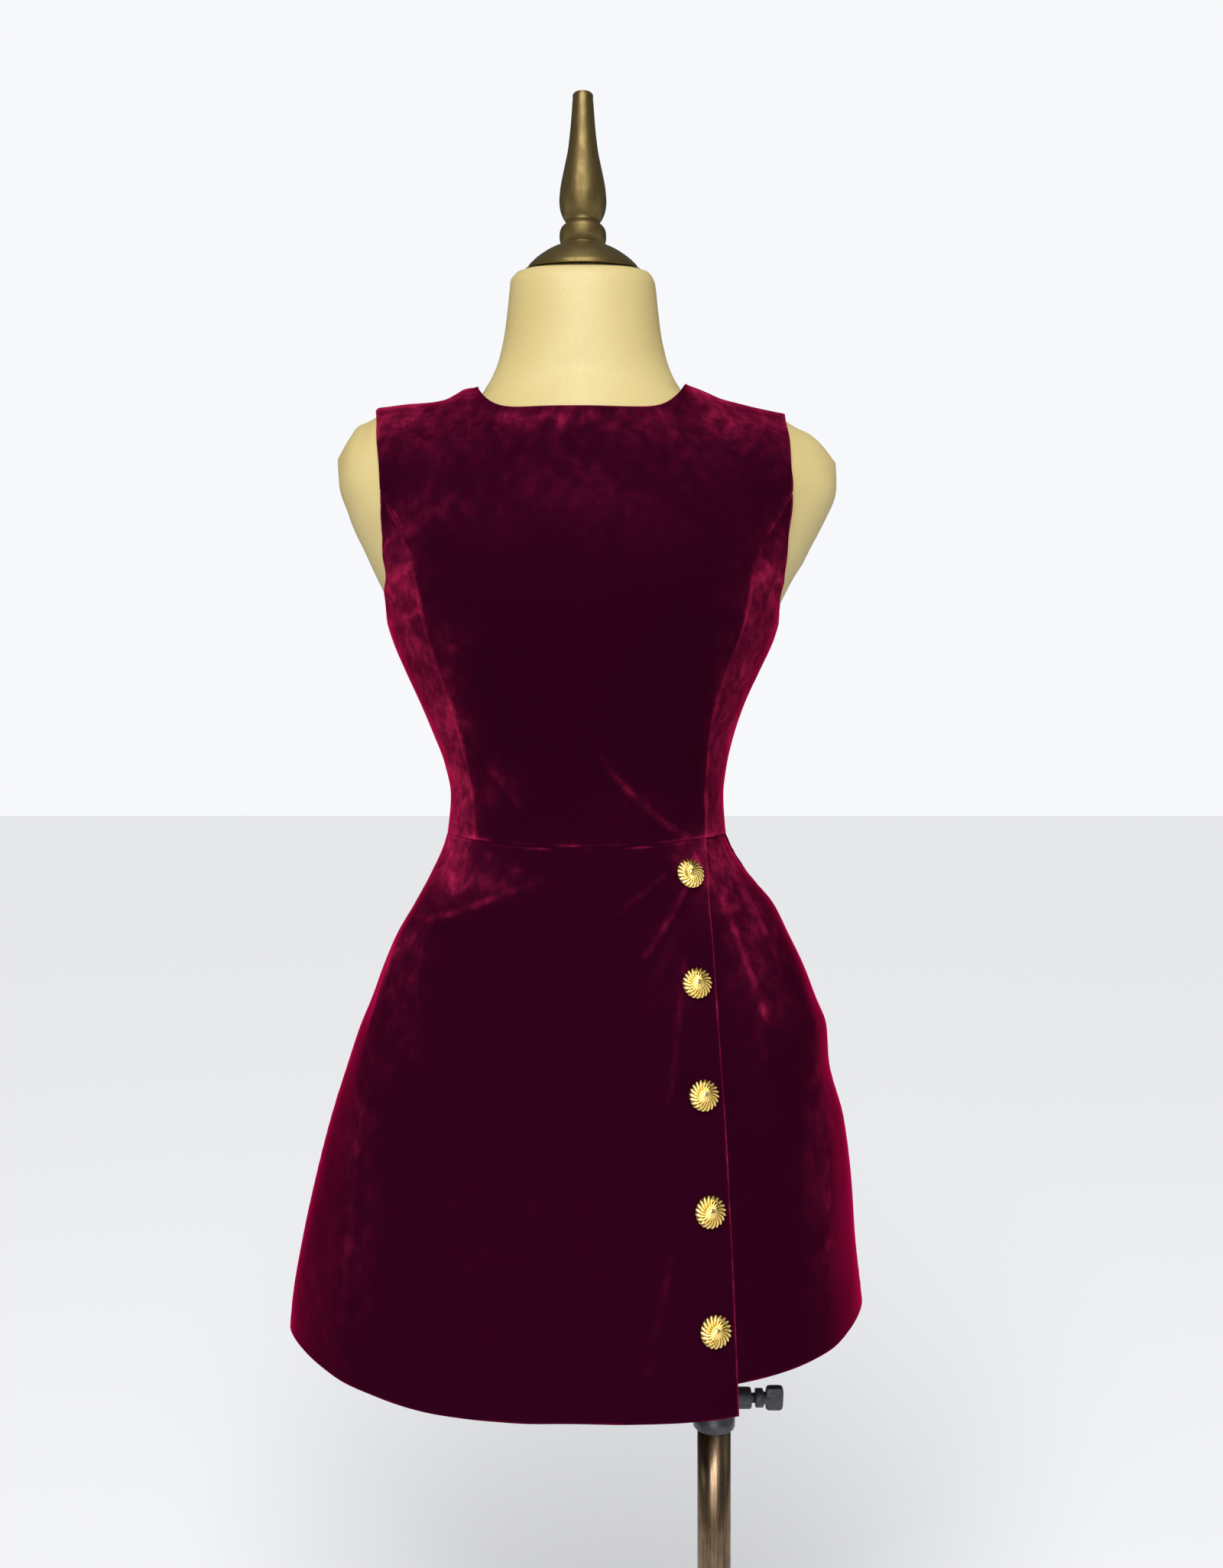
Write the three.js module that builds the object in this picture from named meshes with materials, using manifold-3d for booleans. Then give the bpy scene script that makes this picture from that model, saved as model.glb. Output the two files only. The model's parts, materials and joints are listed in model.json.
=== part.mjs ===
// A sleeveless velvet dress with a button-lapped skirt, worn by a limbless dress form on a pole stand.
// Millimetres, +Z up. The origin is the centre of the base's underside, and the dress faces -Y.
// Left and right are the viewer's, looking at the dress front: right is +X.
import * as THREE from 'three';
import { mergeVertices } from 'three/addons/utils/BufferGeometryUtils.js';
import Module from 'manifold-3d';

const wasm = await Module();
wasm.setup();

// Driving sizes of the cloth.
const CLOTH = 1.6;
const SEAM_GAP = 0.3;
const LAP_WIDTH = 45;
const LAP_GAP = 0.8;
const UNDERARM_Z = 1200;
const WAIST_SIDE_Z = 1029;
const WAIST_DIP = 9;
const BACK_DIP_SHARE = 0.4;
const HEM_Z = 615;
const UNDERLAP_HEM_Z = 636;

// Driving sizes of the neck and shoulders.
const NECK_HALF_WIDTH = 88;
const NECK_FRONT_Z = 1364;
const NECK_BACK_Z = 1382;
const NECK_FRONT_POWER = 7;
const NECK_BACK_POWER = 4.5;
const RIDGE_CENTRE_Z = 1445;
const ROUNDING_BY_NECK = 80;
const ROUNDING_BY_ARM = 45;
const SHOULDER_X = 173;
const PRINCESS_TOP_Z = 1299;

// Driving sizes of the buttons.
const BUTTON_RADIUS = 12;
const BUTTON_INSET = 16;
const BUTTON_TOP_Z = 999;
const BUTTON_SPACING = 81;
const BUTTON_COUNT = 5;

// Driving sizes of the form and its stand.
const FORM_BOTTOM_Z = 715;
const NECK_TOP_Z = 1500;
const NECK_TILT = 0.275;
const NECK_TILT_START_Z = 1440;
const CAP_TOP_Z = 1517.1;
const POLE_X = 110;
const POLE_RADIUS = 14;
const POLE_BORE_RADIUS = 12.6;
const POLE_TOP_Z = 546;
const ROD_RADIUS = 12;
const ROD_BOTTOM_Z = 275;
const ROD_SOCKET_DEPTH = 90;
const FIT_GAP = 0.3;
// How far a bore runs past the face that it opens in.
const OVERRUN = 5;
const CLAMP_BOTTOM_Z = 531;
const CLAMP_TOP_Z = 577;
const CLAMP_RADIUS = 17.5;
const SCREW_Z = 554;
const BASE_RADIUS = 190;
const BASE_THICKNESS = 5;
const BASE_SOCKET_HEIGHT = 46;

// The dress's level sections: half-widths to the left and right, depths to the front and back, and the
// curve between them: how square each half is, and how round it is at the side (1 is a soft corner).
const CURVED = { squareLeft: 2.15, squareRight: 2.15, round: 0.465 };
const DRESS_SECTIONS = [
  { z: 600, left: 247, right: 237.5, front: 163, back: 160, squareLeft: 2.45, squareRight: 3.3, round: 0.8 },
  { z: 640, left: 243.5, right: 234, front: 158, back: 156, squareLeft: 2.45, squareRight: 3.3, round: 0.8 },
  { z: 690, left: 235, right: 228.5, front: 150, back: 150, squareLeft: 2.4, squareRight: 3.2, round: 0.77 },
  { z: 740, left: 224, right: 225, front: 142, back: 144, squareLeft: 2.4, squareRight: 3.0, round: 0.71 },
  { z: 790, left: 211, right: 218.5, front: 133, back: 137, squareLeft: 2.35, squareRight: 2.75, round: 0.63 },
  { z: 840, left: 195, right: 205.5, front: 124, back: 130, squareLeft: 2.3, squareRight: 2.45, round: 0.55 },
  { z: 868, left: 185.5, right: 203.5, front: 119, back: 126, squareLeft: 2.3, squareRight: 2.3, round: 0.52 },
  { z: 893, left: 175, right: 194, front: 115, back: 121, squareLeft: 2.2, squareRight: 2.2, round: 0.48 },
  { z: 919, left: 165.5, right: 184, front: 110, back: 116, ...CURVED },
  { z: 945, left: 154.5, right: 171.5, front: 105, back: 110, ...CURVED },
  { z: 970, left: 140, right: 159, front: 99, back: 103, ...CURVED },
  { z: 996, left: 126, right: 138, front: 93, back: 95, ...CURVED },
  { z: 1021, left: 115, right: 123, front: 88, back: 88, ...CURVED },
  { z: 1034, left: 112, right: 119, front: 86, back: 85, ...CURVED },
  { z: 1060, left: 110, right: 117.5, front: 88, back: 83, ...CURVED },
  { z: 1086, left: 115, right: 120.5, front: 93, back: 83, ...CURVED },
  { z: 1111, left: 124.5, right: 126.5, front: 99, back: 85, ...CURVED },
  { z: 1137, left: 135.5, right: 135.5, front: 105, back: 88, ...CURVED },
  { z: 1163, left: 147.5, right: 147.5, front: 111, back: 92, ...CURVED },
  { z: 1188, left: 158, right: 159, front: 116, back: 96, ...CURVED },
  { z: 1214, left: 166, right: 167, front: 119, back: 99, ...CURVED },
  { z: 1240, left: 175, right: 176, front: 117, back: 101, ...CURVED },
  { z: 1265, left: 185, right: 186, front: 111, back: 101, ...CURVED },
  { z: 1290, left: 199, right: 200, front: 103, back: 98, ...CURVED },
  { z: 1316, left: 210, right: 210.5, front: 94, back: 93, ...CURVED },
  { z: 1342, left: 212.5, right: 213, front: 84, back: 86, ...CURVED },
  { z: 1368, left: 212, right: 212.5, front: 74, back: 76, ...CURVED },
  { z: 1410, left: 211, right: 211.5, front: 66, back: 68, ...CURVED },
];

// The dress form's level sections, the same on both sides.
const FORM_SECTIONS = [
  { z: 715, half: 150, front: 90, back: 96 },
  { z: 740, half: 160, front: 97, back: 105 },
  { z: 800, half: 166, front: 103, back: 114 },
  { z: 860, half: 163, front: 102, back: 112 },
  { z: 900, half: 152, front: 97, back: 106 },
  { z: 945, half: 134, front: 91, back: 97 },
  { z: 996, half: 114, front: 84, back: 85 },
  { z: 1030, half: 105, front: 80, back: 78 },
  { z: 1060, half: 103, front: 81, back: 76 },
  { z: 1086, half: 107, front: 86, back: 76.5 },
  { z: 1111, half: 116, front: 92, back: 78 },
  { z: 1137, half: 127, front: 98, back: 81.5 },
  { z: 1163, half: 139, front: 104.5, back: 85.5 },
  { z: 1188, half: 151, front: 110, back: 90 },
  { z: 1214, half: 160, front: 113.5, back: 93 },
  { z: 1240, half: 170, front: 111.5, back: 95 },
  { z: 1265, half: 181, front: 106, back: 95 },
  { z: 1290, half: 195, front: 98, back: 92.5 },
  { z: 1316, half: 206, front: 89, back: 87.5 },
  { z: 1342, half: 208.5, front: 79, back: 81 },
  { z: 1368, half: 208, front: 69.5, back: 71.5 },
  { z: 1410, half: 207, front: 61, back: 63 },
];

// The dress's shoulder ridge, by distance from the centre: its height to the left and right, and how far
// the form's own ridge lies below it. The dress rests where that is least.
const SHOULDER_LINE = [
  { x: 88, left: 1399.3, right: 1400.9, formDrop: 8.4 },
  { x: 96, left: 1398.4, right: 1397.8, formDrop: 7.8 },
  { x: 105, left: 1393.4, right: 1393.8, formDrop: 6 },
  { x: 114, left: 1389, right: 1389.8, formDrop: 4.1 },
  { x: 127, left: 1386.6, right: 1386.4, formDrop: 3.2 },
  { x: 145, left: 1385.1, right: 1381.9, formDrop: 4 },
  { x: 160, left: 1383.4, right: 1378.9, formDrop: 5 },
  { x: 168, left: 1382.6, right: 1377.6, formDrop: 6 },
  { x: 173, left: 1379.8, right: 1374.8, formDrop: 6.2 },
  { x: 182, left: 1376.5, right: 1370.9, formDrop: 6.5 },
  { x: 192, left: 1374.3, right: 1368.4, formDrop: 6.5 },
  { x: 214, left: 1370.5, right: 1368.5, formDrop: 6.5 },
];

// The form's neck above the shoulders: half-width and depth by height.
const NECK_SECTIONS = [
  { z: 1360, half: 90, depth: 60 },
  { z: 1388, half: 87, depth: 56.5 },
  { z: 1397, half: 82.5, depth: 55.5 },
  { z: 1406, half: 77, depth: 55 },
  { z: 1419, half: 71.5, depth: 54.5 },
  { z: 1430, half: 68.5, depth: 54 },
  { z: 1445, half: 65.5, depth: 53.5 },
  { z: 1470, half: 62.5, depth: 52.5 },
  { z: 1488, half: 60.5, depth: 51 },
  { z: 1497, half: 56, depth: 47 },
  { z: 1500, half: 48, depth: 41 },
];

// Where the seams run on the dress front, by height.
const FRONT_PRINCESS = [
  { z: 1010, left: -84, right: 99 },
  { z: 1029, left: -84, right: 99 },
  { z: 1068, left: -87.5, right: 99.5 },
  { z: 1110, left: -96, right: 102 },
  { z: 1148, left: -107.5, right: 111 },
  { z: 1177, left: -117, right: 121.5 },
  { z: 1207, left: -124, right: 130 },
  { z: 1230, left: -128, right: 134 },
  { z: 1250, left: -133, right: 139.5 },
  { z: 1270, left: -141.5, right: 149 },
  { z: 1284, left: -149.5, right: 157.5 },
  { z: 1299, left: -156, right: 165.5 },
];
const BACK_PRINCESS = [
  { z: 1010, left: -70, right: 72 },
  { z: 1060, left: -72, right: 74 },
  { z: 1110, left: -82, right: 84 },
  { z: 1160, left: -96, right: 98 },
  { z: 1210, left: -110, right: 112 },
  { z: 1250, left: -124, right: 126 },
  { z: 1280, left: -142, right: 147 },
  { z: 1299, left: -156, right: 165.5 },
];

// The armhole's edge as seen from the front, by height.
const ARMHOLE_EDGE = [
  { z: 1200, left: -161, right: 161.5 },
  { z: 1214, left: -159, right: 161 },
  { z: 1240, left: -156.5, right: 163 },
  { z: 1265, left: -158, right: 165 },
  { z: 1291, left: -158, right: 168 },
  { z: 1309, left: -159, right: 168 },
  { z: 1316, left: -159.5, right: 167 },
  { z: 1342, left: -163, right: 166.5 },
  { z: 1360, left: -165.5, right: 165.5 },
  { z: 1372, left: -169, right: 167 },
  { z: 1381, left: -173, right: 170 },
];

// The lapped edge of the skirt front, by height.
const FLAP_EDGE = [
  { z: 600, x: 116.5 },
  { z: 700, x: 113.5 },
  { z: 800, x: 110 },
  { z: 920, x: 104 },
  { z: 980, x: 101 },
  { z: 1030, x: 99 },
];

// The largest folds: a soft ridge (height above 0) or trough from one end to the other, seen from the front.
const FRONT_FOLDS = [
  { x0: 16, z0: 1089, x1: 82, z1: 1027, height: 1.8, width: 10 },
  { x0: -68, z0: 1078, x1: -45, z1: 1049, height: 1.0, width: 8 },
  { x0: -154, z0: 1224, x1: -130, z1: 1238, height: 1.8, width: 9 },
  { x0: 143, z0: 1229, x1: 156, z1: 1200, height: 1.6, width: 9 },
  { x0: -107, z0: 1022, x1: -98, z1: 978, height: 1.4, width: 8 },
  { x0: -116, z0: 962, x1: -32, z1: 995, height: 2.3, width: 10 },
  { x0: -139, z0: 972, x1: -163, z1: 886, height: 2.4, width: 11 },
  { x0: 82, z0: 990, x1: 50, z1: 940, height: 1.8, width: 10 },
  { x0: 64, z0: 998, x1: 27, z1: 969, height: 1.3, width: 9 },
  { x0: 105, z0: 992, x1: 142, z1: 890, height: 2.4, width: 10 },
  { x0: 118, z0: 1016, x1: 153, z1: 934, height: 1.6, width: 9 },
  { x0: -150, z0: 930, x1: -182, z1: 640, height: 3.0, width: 20 },
  { x0: 180, z0: 905, x1: 192, z1: 640, height: 2.8, width: 18 },
  { x0: -96, z0: 780, x1: -110, z1: 618, height: 1.6, width: 26 },
  { x0: -20, z0: 800, x1: -20, z1: 618, height: -2.5, width: 38 },
];
const BACK_FOLDS = [
  { x0: -60, z0: 1018, x1: -96, z1: 940, height: 2.0, width: 12 },
  { x0: 58, z0: 1018, x1: 92, z1: 944, height: 1.8, width: 12 },
  { x0: -150, z0: 620, x1: -104, z1: 900, height: 5.0, width: 30 },
  { x0: 142, z0: 640, x1: 100, z1: 890, height: 4.5, width: 28 },
  { x0: -44, z0: 620, x1: -36, z1: 820, height: -4.0, width: 34 },
  { x0: 52, z0: 625, x1: 40, z1: 800, height: -3.5, width: 32 },
  { x0: -150, z0: 1240, x1: -118, z1: 1200, height: 1.4, width: 10 },
  { x0: 150, z0: 1236, x1: 116, z1: 1198, height: 1.4, width: 10 },
];

// Pieces' colours, with how rough and how metallic each is.
const VELVET = { color: 0x4a0518, roughness: 0.9, metalness: 0 };
const JERSEY = { color: 0xdcc784, roughness: 0.85, metalness: 0 };
const GOLD_PAINT = { color: 0x8f7234, roughness: 0.4, metalness: 0.6 };
const GILT = { color: 0xd8ab3c, roughness: 0.25, metalness: 1 };
const STEEL = { color: 0xa9a29a, roughness: 0.25, metalness: 1 };
const DARK_METAL = { color: 0x50555f, roughness: 0.45, metalness: 0.6 };
const BASE_METAL = { color: 0x8d8d8f, roughness: 0.5, metalness: 0.8 };

const model = new THREE.Group();

function addMesh(name, geometry, look, place = new THREE.Vector3()) {
  const mesh = new THREE.Mesh(geometry, new THREE.MeshStandardMaterial(look));
  mesh.name = name;
  mesh.position.copy(place);
  model.add(mesh);
  return mesh;
}

// A value read from one column of a table by height, or by another key, on a smooth curve that never
// overshoots its rows.
function lookUp(table, column, at, key = 'z') {
  const step = table[1][key] > table[0][key] ? 1 : -1;
  const rows = step > 0 ? table : [...table].reverse();
  if (at <= rows[0][key]) return rows[0][column];
  const last = rows.length - 1;
  if (at >= rows[last][key]) return rows[last][column];
  let k = 0;
  while (at > rows[k + 1][key]) k += 1;
  const slope = (i) => (rows[i + 1][column] - rows[i][column]) / (rows[i + 1][key] - rows[i][key]);
  const tangent = (i) => {
    if (i === 0) return slope(0);
    if (i === last) return slope(last - 1);
    const before = slope(i - 1);
    const after = slope(i);
    return before * after <= 0 ? 0 : (2 * before * after) / (before + after);
  };
  const span = rows[k + 1][key] - rows[k][key];
  const t = (at - rows[k][key]) / span;
  const t2 = t * t;
  const t3 = t2 * t;
  return (2 * t3 - 3 * t2 + 1) * rows[k][column] + (t3 - 2 * t2 + t) * span * tangent(k)
    + (3 * t2 - 2 * t3) * rows[k + 1][column] + (t3 - t2) * span * tangent(k + 1);
}

function mix(a, b, t) {
  return a + (b - a) * t;
}

function smoothStep(low, high, value) {
  const t = THREE.MathUtils.clamp((value - low) / (high - low), 0, 1);
  return t * t * (3 - 2 * t);
}

// The height of the shoulder's ridge at a distance x from the centre: a straight rise inside the neck point
// and the shoulder line outside it.
function shoulderHeight(x) {
  const away = Math.abs(x);
  const line = lookUp(SHOULDER_LINE, x < 0 ? 'left' : 'right', away, 'x');
  return away < NECK_HALF_WIDTH ? mix(RIDGE_CENTRE_Z, line, away / NECK_HALF_WIDTH) : line;
}

// The rounding over the shoulder: 0 on the ridge and 1 well below it, like a quarter circle.
function ridgeRounding(x, z, ridgeZ) {
  const outward = smoothStep(NECK_HALF_WIDTH, SHOULDER_X, Math.abs(x));
  const reach = mix(ROUNDING_BY_NECK, ROUNDING_BY_ARM, outward);
  const q = THREE.MathUtils.clamp((ridgeZ - z) / reach, 0, 1);
  return Math.sqrt(1 - (1 - q) * (1 - q));
}

function dressHalf(x, z) {
  return lookUp(DRESS_SECTIONS, x < 0 ? 'left' : 'right', z);
}

// The share of the full depth that a section keeps at a share of its half-width.
function sectionShare(across, x, z) {
  const square = lookUp(DRESS_SECTIONS, x < 0 ? 'squareLeft' : 'squareRight', z);
  return (1 - across ** square) ** lookUp(DRESS_SECTIONS, 'round', z);
}

// The depth of the dress's outer face in front of (side -1) or behind (side 1) the shoulder line.
function dressDepth(x, z, side) {
  const half = dressHalf(x, z);
  const across = Math.min(Math.abs(x) / half, 1);
  const depth = lookUp(DRESS_SECTIONS, side < 0 ? 'front' : 'back', z);
  return depth * sectionShare(across, x, z) * ridgeRounding(x, z, shoulderHeight(x));
}

// How far the folds lift the cloth at a place seen from the front or back.
function foldLift(folds, x, z) {
  let lift = 0;
  for (const fold of folds) {
    const dx = fold.x1 - fold.x0;
    const dz = fold.z1 - fold.z0;
    const length = Math.hypot(dx, dz);
    const along = ((x - fold.x0) * dx + (z - fold.z0) * dz) / length;
    const away = ((x - fold.x0) * dz - (z - fold.z0) * dx) / length;
    const past = Math.max(-along, along - length, 0);
    lift += fold.height * Math.exp(-((away / fold.width) ** 2) - (past / (1.6 * fold.width)) ** 2);
  }
  return lift;
}

// The direction straight out of the dress at a place on it.
function dressNormal(x, z, side) {
  const half = dressHalf(x, z);
  const reach = 0.6;
  const outerX = Math.sign(x || 1) * Math.min(Math.abs(x) + reach, half);
  const innerX = Math.sign(x || 1) * (Math.min(Math.abs(x), half) - reach);
  const slopeX = (dressDepth(outerX, z, side) - dressDepth(innerX, z, side)) / (outerX - innerX);
  const spineX = THREE.MathUtils.clamp(x, -half, half);
  const slopeZ = (dressDepth(spineX, z + reach, side) - dressDepth(spineX, z - reach, side)) / (2 * reach);
  if (half - Math.abs(x) < 0.02) {
    const grow = (dressHalf(x, z + reach) - dressHalf(x, z - reach)) / (2 * reach);
    return new THREE.Vector3(Math.sign(x), 0, -grow).normalize();
  }
  return new THREE.Vector3(-slopeX, side, -slopeZ).normalize();
}

// A place across the dress: the angle round the section, 0 at the centre and a right angle at the side.
const ANGLE_POWER = 0.93;
const SIDE_SEAM = Math.PI / 2;

function xAtAngle(angle, z) {
  return Math.sign(angle) * dressHalf(angle, z) * Math.abs(Math.sin(angle)) ** ANGLE_POWER;
}

function angleAtX(x, z) {
  return Math.sign(x) * Math.asin(Math.min(Math.abs(x) / dressHalf(x, z), 1) ** (1 / ANGLE_POWER));
}

// A point on the dress's outer face, lifted by the folds, and the direction out of it.
function dressPoint(x, z, side, offset = 0, foldShare = 1) {
  const normal = dressNormal(x, z, side);
  const half = dressHalf(x, z);
  const calm = foldShare * (1 - smoothStep(0.9, 1, Math.abs(x) / half));
  const lift = foldLift(side < 0 ? FRONT_FOLDS : BACK_FOLDS, x, z) * calm + offset;
  const depth = Math.max(dressDepth(x, z, side), SEAM_GAP / 2);
  const point = new THREE.Vector3(x, side * depth, z).addScaledVector(normal, lift);
  return { point, normal };
}

// A closed wall of cloth over a grid of outer points: outer face, inner face and four edges.
function clothWall(rows, columns, outerPoint) {
  const positions = [];
  const inner = [];
  for (let i = 0; i <= rows; i += 1) {
    for (let j = 0; j <= columns; j += 1) {
      const { point, normal } = outerPoint(i / rows, j / columns, i, j);
      positions.push(point.x, point.y, point.z);
      inner.push(point.x - normal.x * CLOTH, point.y - normal.y * CLOTH, point.z - normal.z * CLOTH);
    }
  }
  const count = positions.length / 3;
  const at = (i, j) => i * (columns + 1) + j;
  const faces = [];
  const quad = (a, b, c, d) => faces.push(a, b, c, a, c, d);
  for (let i = 0; i < rows; i += 1) {
    for (let j = 0; j < columns; j += 1) {
      quad(at(i, j), at(i, j + 1), at(i + 1, j + 1), at(i + 1, j));
      quad(count + at(i, j), count + at(i + 1, j), count + at(i + 1, j + 1), count + at(i, j + 1));
    }
  }
  for (let j = 0; j < columns; j += 1) {
    quad(count + at(0, j), count + at(0, j + 1), at(0, j + 1), at(0, j));
    quad(at(rows, j), at(rows, j + 1), count + at(rows, j + 1), count + at(rows, j));
  }
  for (let i = 0; i < rows; i += 1) {
    quad(at(i, 0), at(i + 1, 0), count + at(i + 1, 0), count + at(i, 0));
    quad(count + at(i, columns), count + at(i + 1, columns), at(i + 1, columns), at(i, columns));
  }
  return closedGeometry([...positions, ...inner], faces);
}

// A geometry from points and faces, turned so that its faces point outwards.
function closedGeometry(positions, faces) {
  let volume = 0;
  const corner = (k) => new THREE.Vector3(positions[3 * k], positions[3 * k + 1], positions[3 * k + 2]);
  for (let f = 0; f < faces.length; f += 3) {
    const a = corner(faces[f]);
    volume += a.dot(corner(faces[f + 1]).cross(corner(faces[f + 2])));
  }
  const index = [];
  for (let f = 0; f < faces.length; f += 3) {
    if (volume > 0) index.push(faces[f], faces[f + 1], faces[f + 2]);
    else index.push(faces[f], faces[f + 2], faces[f + 1]);
  }
  const geometry = new THREE.BufferGeometry();
  geometry.setAttribute('position', new THREE.Float32BufferAttribute(positions, 3));
  geometry.setIndex(index);
  geometry.computeVertexNormals();
  return geometry;
}

// The height of the waist seam, dipping at the centre front and back.
function waistHeight(x, side) {
  const half = dressHalf(x, WAIST_SIDE_Z);
  const dip = side < 0 ? WAIST_DIP : WAIST_DIP * BACK_DIP_SHARE;
  return WAIST_SIDE_Z - dip * (1 - Math.min(Math.abs(x) / half, 1) ** 2);
}

function hemHeight(x, side) {
  if (side < 0) return HEM_Z;
  return mix(HEM_Z, UNDERLAP_HEM_Z, smoothStep(-120, 120, x));
}

// The neck's edge: how high it is at x, rising to just under the neck points.
const NECK_EDGE_DROP = 0.4;

function necklineHeight(x, side) {
  const centre = side < 0 ? NECK_FRONT_Z : NECK_BACK_Z;
  const power = side < 0 ? NECK_FRONT_POWER : NECK_BACK_POWER;
  const neckPoint = shoulderHeight(Math.sign(x) * NECK_HALF_WIDTH) - NECK_EDGE_DROP;
  return mix(centre, neckPoint, Math.min(Math.abs(x) / NECK_HALF_WIDTH, 1) ** power);
}

function sideName(direction) {
  return direction < 0 ? 'left' : 'right';
}

// The edge of the centre panel by height: the princess seam, then the armhole up to the shoulder.
function centrePanelEdge(seamTable, direction, z) {
  const column = sideName(direction);
  return lookUp(z > PRINCESS_TOP_Z + 0.5 ? ARMHOLE_EDGE : seamTable, column, z);
}

// The rows of a bodice panel: even steps to the princess seam's top, then closer ones over the shoulder.
const SEAM_ROWS = 13;
const SHOULDER_ROWS = 8;
const RIDGE_GAP = 0.2;

// The height of a centre panel's outer corner at the shoulder, blended between its two sides.
function shoulderEdgeHeight(across) {
  return mix(shoulderHeight(-SHOULDER_X), shoulderHeight(SHOULDER_X), (across + 1) / 2) - RIDGE_GAP;
}

function centrePanelRow(i, bottomZ, topZ) {
  if (i <= SEAM_ROWS) return mix(bottomZ, PRINCESS_TOP_Z, i / SEAM_ROWS);
  const over = Math.sin((Math.PI / 2) * ((i - SEAM_ROWS) / SHOULDER_ROWS));
  return mix(PRINCESS_TOP_Z, topZ, over);
}

// Where a centre panel's column ends: on the neckline, or on the shoulder seam outside the neck point.
function columnTop(across, side) {
  const share = Math.abs(across);
  const sign = Math.sign(across);
  if (share <= 0.5) {
    const x = sign * NECK_HALF_WIDTH * Math.sin(Math.PI * share);
    return { x, z: necklineHeight(x, side) };
  }
  const x = sign * mix(NECK_HALF_WIDTH, SHOULDER_X, (share - 0.5) / 0.5);
  return { x, z: shoulderHeight(x) - RIDGE_GAP };
}

// Above this share of a panel's height the columns spread to their places on the neckline and shoulder.
const SPREAD_START = 0.45;

// One point of a bodice panel that spans from acrossLeft to acrossRight (-1 and 1 are its side edges).
function centrePanelPoint(seamTable, side, across, i) {
  const top = columnTop(across, side);
  const direction = across < 0 ? -1 : 1;
  const seamFoot = lookUp(seamTable, sideName(direction), WAIST_SIDE_Z);
  const bottom = waistHeight(across * Math.abs(seamFoot), side) + SEAM_GAP / 2;
  const edgeBottom = waistHeight(seamFoot, side) + SEAM_GAP / 2;
  const edgeTop = shoulderEdgeHeight(across);
  const share = (centrePanelRow(i, edgeBottom, edgeTop) - edgeBottom) / (edgeTop - edgeBottom);
  const z = mix(bottom, top.z, share);
  const edgeZ = mix(edgeBottom, edgeTop, share);
  const edge = Math.abs(centrePanelEdge(seamTable, direction, edgeZ));
  const spread = mix(Math.abs(across), Math.abs(top.x) / SHOULDER_X, smoothStep(SPREAD_START, 1, share));
  const inset = Math.abs(across) === 1 && edgeZ < PRINCESS_TOP_Z ? SEAM_GAP / 2 : 0;
  const x = direction * (spread * edge - inset);
  const lowered = Math.min(z, shoulderHeight(x) - RIDGE_GAP);
  const ridgeGap = i === SEAM_ROWS + SHOULDER_ROWS && Math.abs(across) >= 0.5;
  const placed = dressPoint(x, lowered, side);
  if (ridgeGap) {
    placed.point.y = side * SEAM_GAP / 2;
    placed.normal.set(0, 0, 1);
  }
  return placed;
}

function centrePanel(seamTable, side, columns, acrossLeft, acrossRight, centreInset) {
  return clothWall(SEAM_ROWS + SHOULDER_ROWS, columns, (s, t, i) => {
    const across = mix(acrossLeft, acrossRight, t);
    const placed = centrePanelPoint(seamTable, side, across, i);
    if (across === 0) placed.point.x += centreInset;
    return placed;
  });
}

// A side panel of the bodice, from the princess seam to the side seam and then the armhole.
function sidePanel(seamTable, side, direction, columns) {
  const column = sideName(direction);
  const seamFoot = lookUp(seamTable, column, WAIST_SIDE_Z);
  return clothWall(SEAM_ROWS, columns, (s, t, i) => {
    const seamBottom = waistHeight(seamFoot, side) + SEAM_GAP / 2;
    const seamZ = centrePanelRow(i, seamBottom, PRINCESS_TOP_Z);
    const footAngle = mix(angleAtX(seamFoot, WAIST_SIDE_Z), direction * SIDE_SEAM, t);
    const bottom = waistHeight(xAtAngle(footAngle, WAIST_SIDE_Z), side) + SEAM_GAP / 2;
    const share = (seamZ - seamBottom) / (PRINCESS_TOP_Z - seamBottom);
    const z = mix(bottom, PRINCESS_TOP_Z, share);
    const seamX = centrePanelEdge(seamTable, direction, z) + direction * SEAM_GAP / 2;
    const start = Math.abs(angleAtX(seamX, z));
    const armhole = Math.abs(angleAtX(lookUp(ARMHOLE_EDGE, column, z), z));
    const end = z <= UNDERARM_Z ? SIDE_SEAM : armhole;
    const angle = direction * mix(start, end, t);
    return dressPoint(xAtAngle(angle, z), z, side);
  });
}

// A skirt panel between two edges given as angles by height. Where it isn't bare it lies under another.
function skirtPanel(side, rows, columns, leftAngle, rightAngle, hemZ, bareAt = () => 1) {
  return clothWall(rows, columns, (s, t) => {
    const topX = xAtAngle(mix(leftAngle(WAIST_SIDE_Z), rightAngle(WAIST_SIDE_Z), t), WAIST_SIDE_Z);
    const top = waistHeight(topX, side) - SEAM_GAP / 2;
    const footX = xAtAngle(mix(leftAngle(HEM_Z), rightAngle(HEM_Z), t), HEM_Z);
    const z = mix(hemZ(footX), top, s);
    const x = xAtAngle(mix(leftAngle(z), rightAngle(z), t), z);
    const bare = bareAt(x, z);
    return dressPoint(x, z, side, -(CLOTH + LAP_GAP) * (1 - bare), bare);
  });
}

function flapEdgeX(z) {
  return lookUp(FLAP_EDGE, 'x', z);
}

// How far the underlap has come out from under the flap: 0 below it and 1 well past its edge.
function underlapBare(x, z) {
  return smoothStep(8, 60, x - flapEdgeX(z));
}

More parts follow.
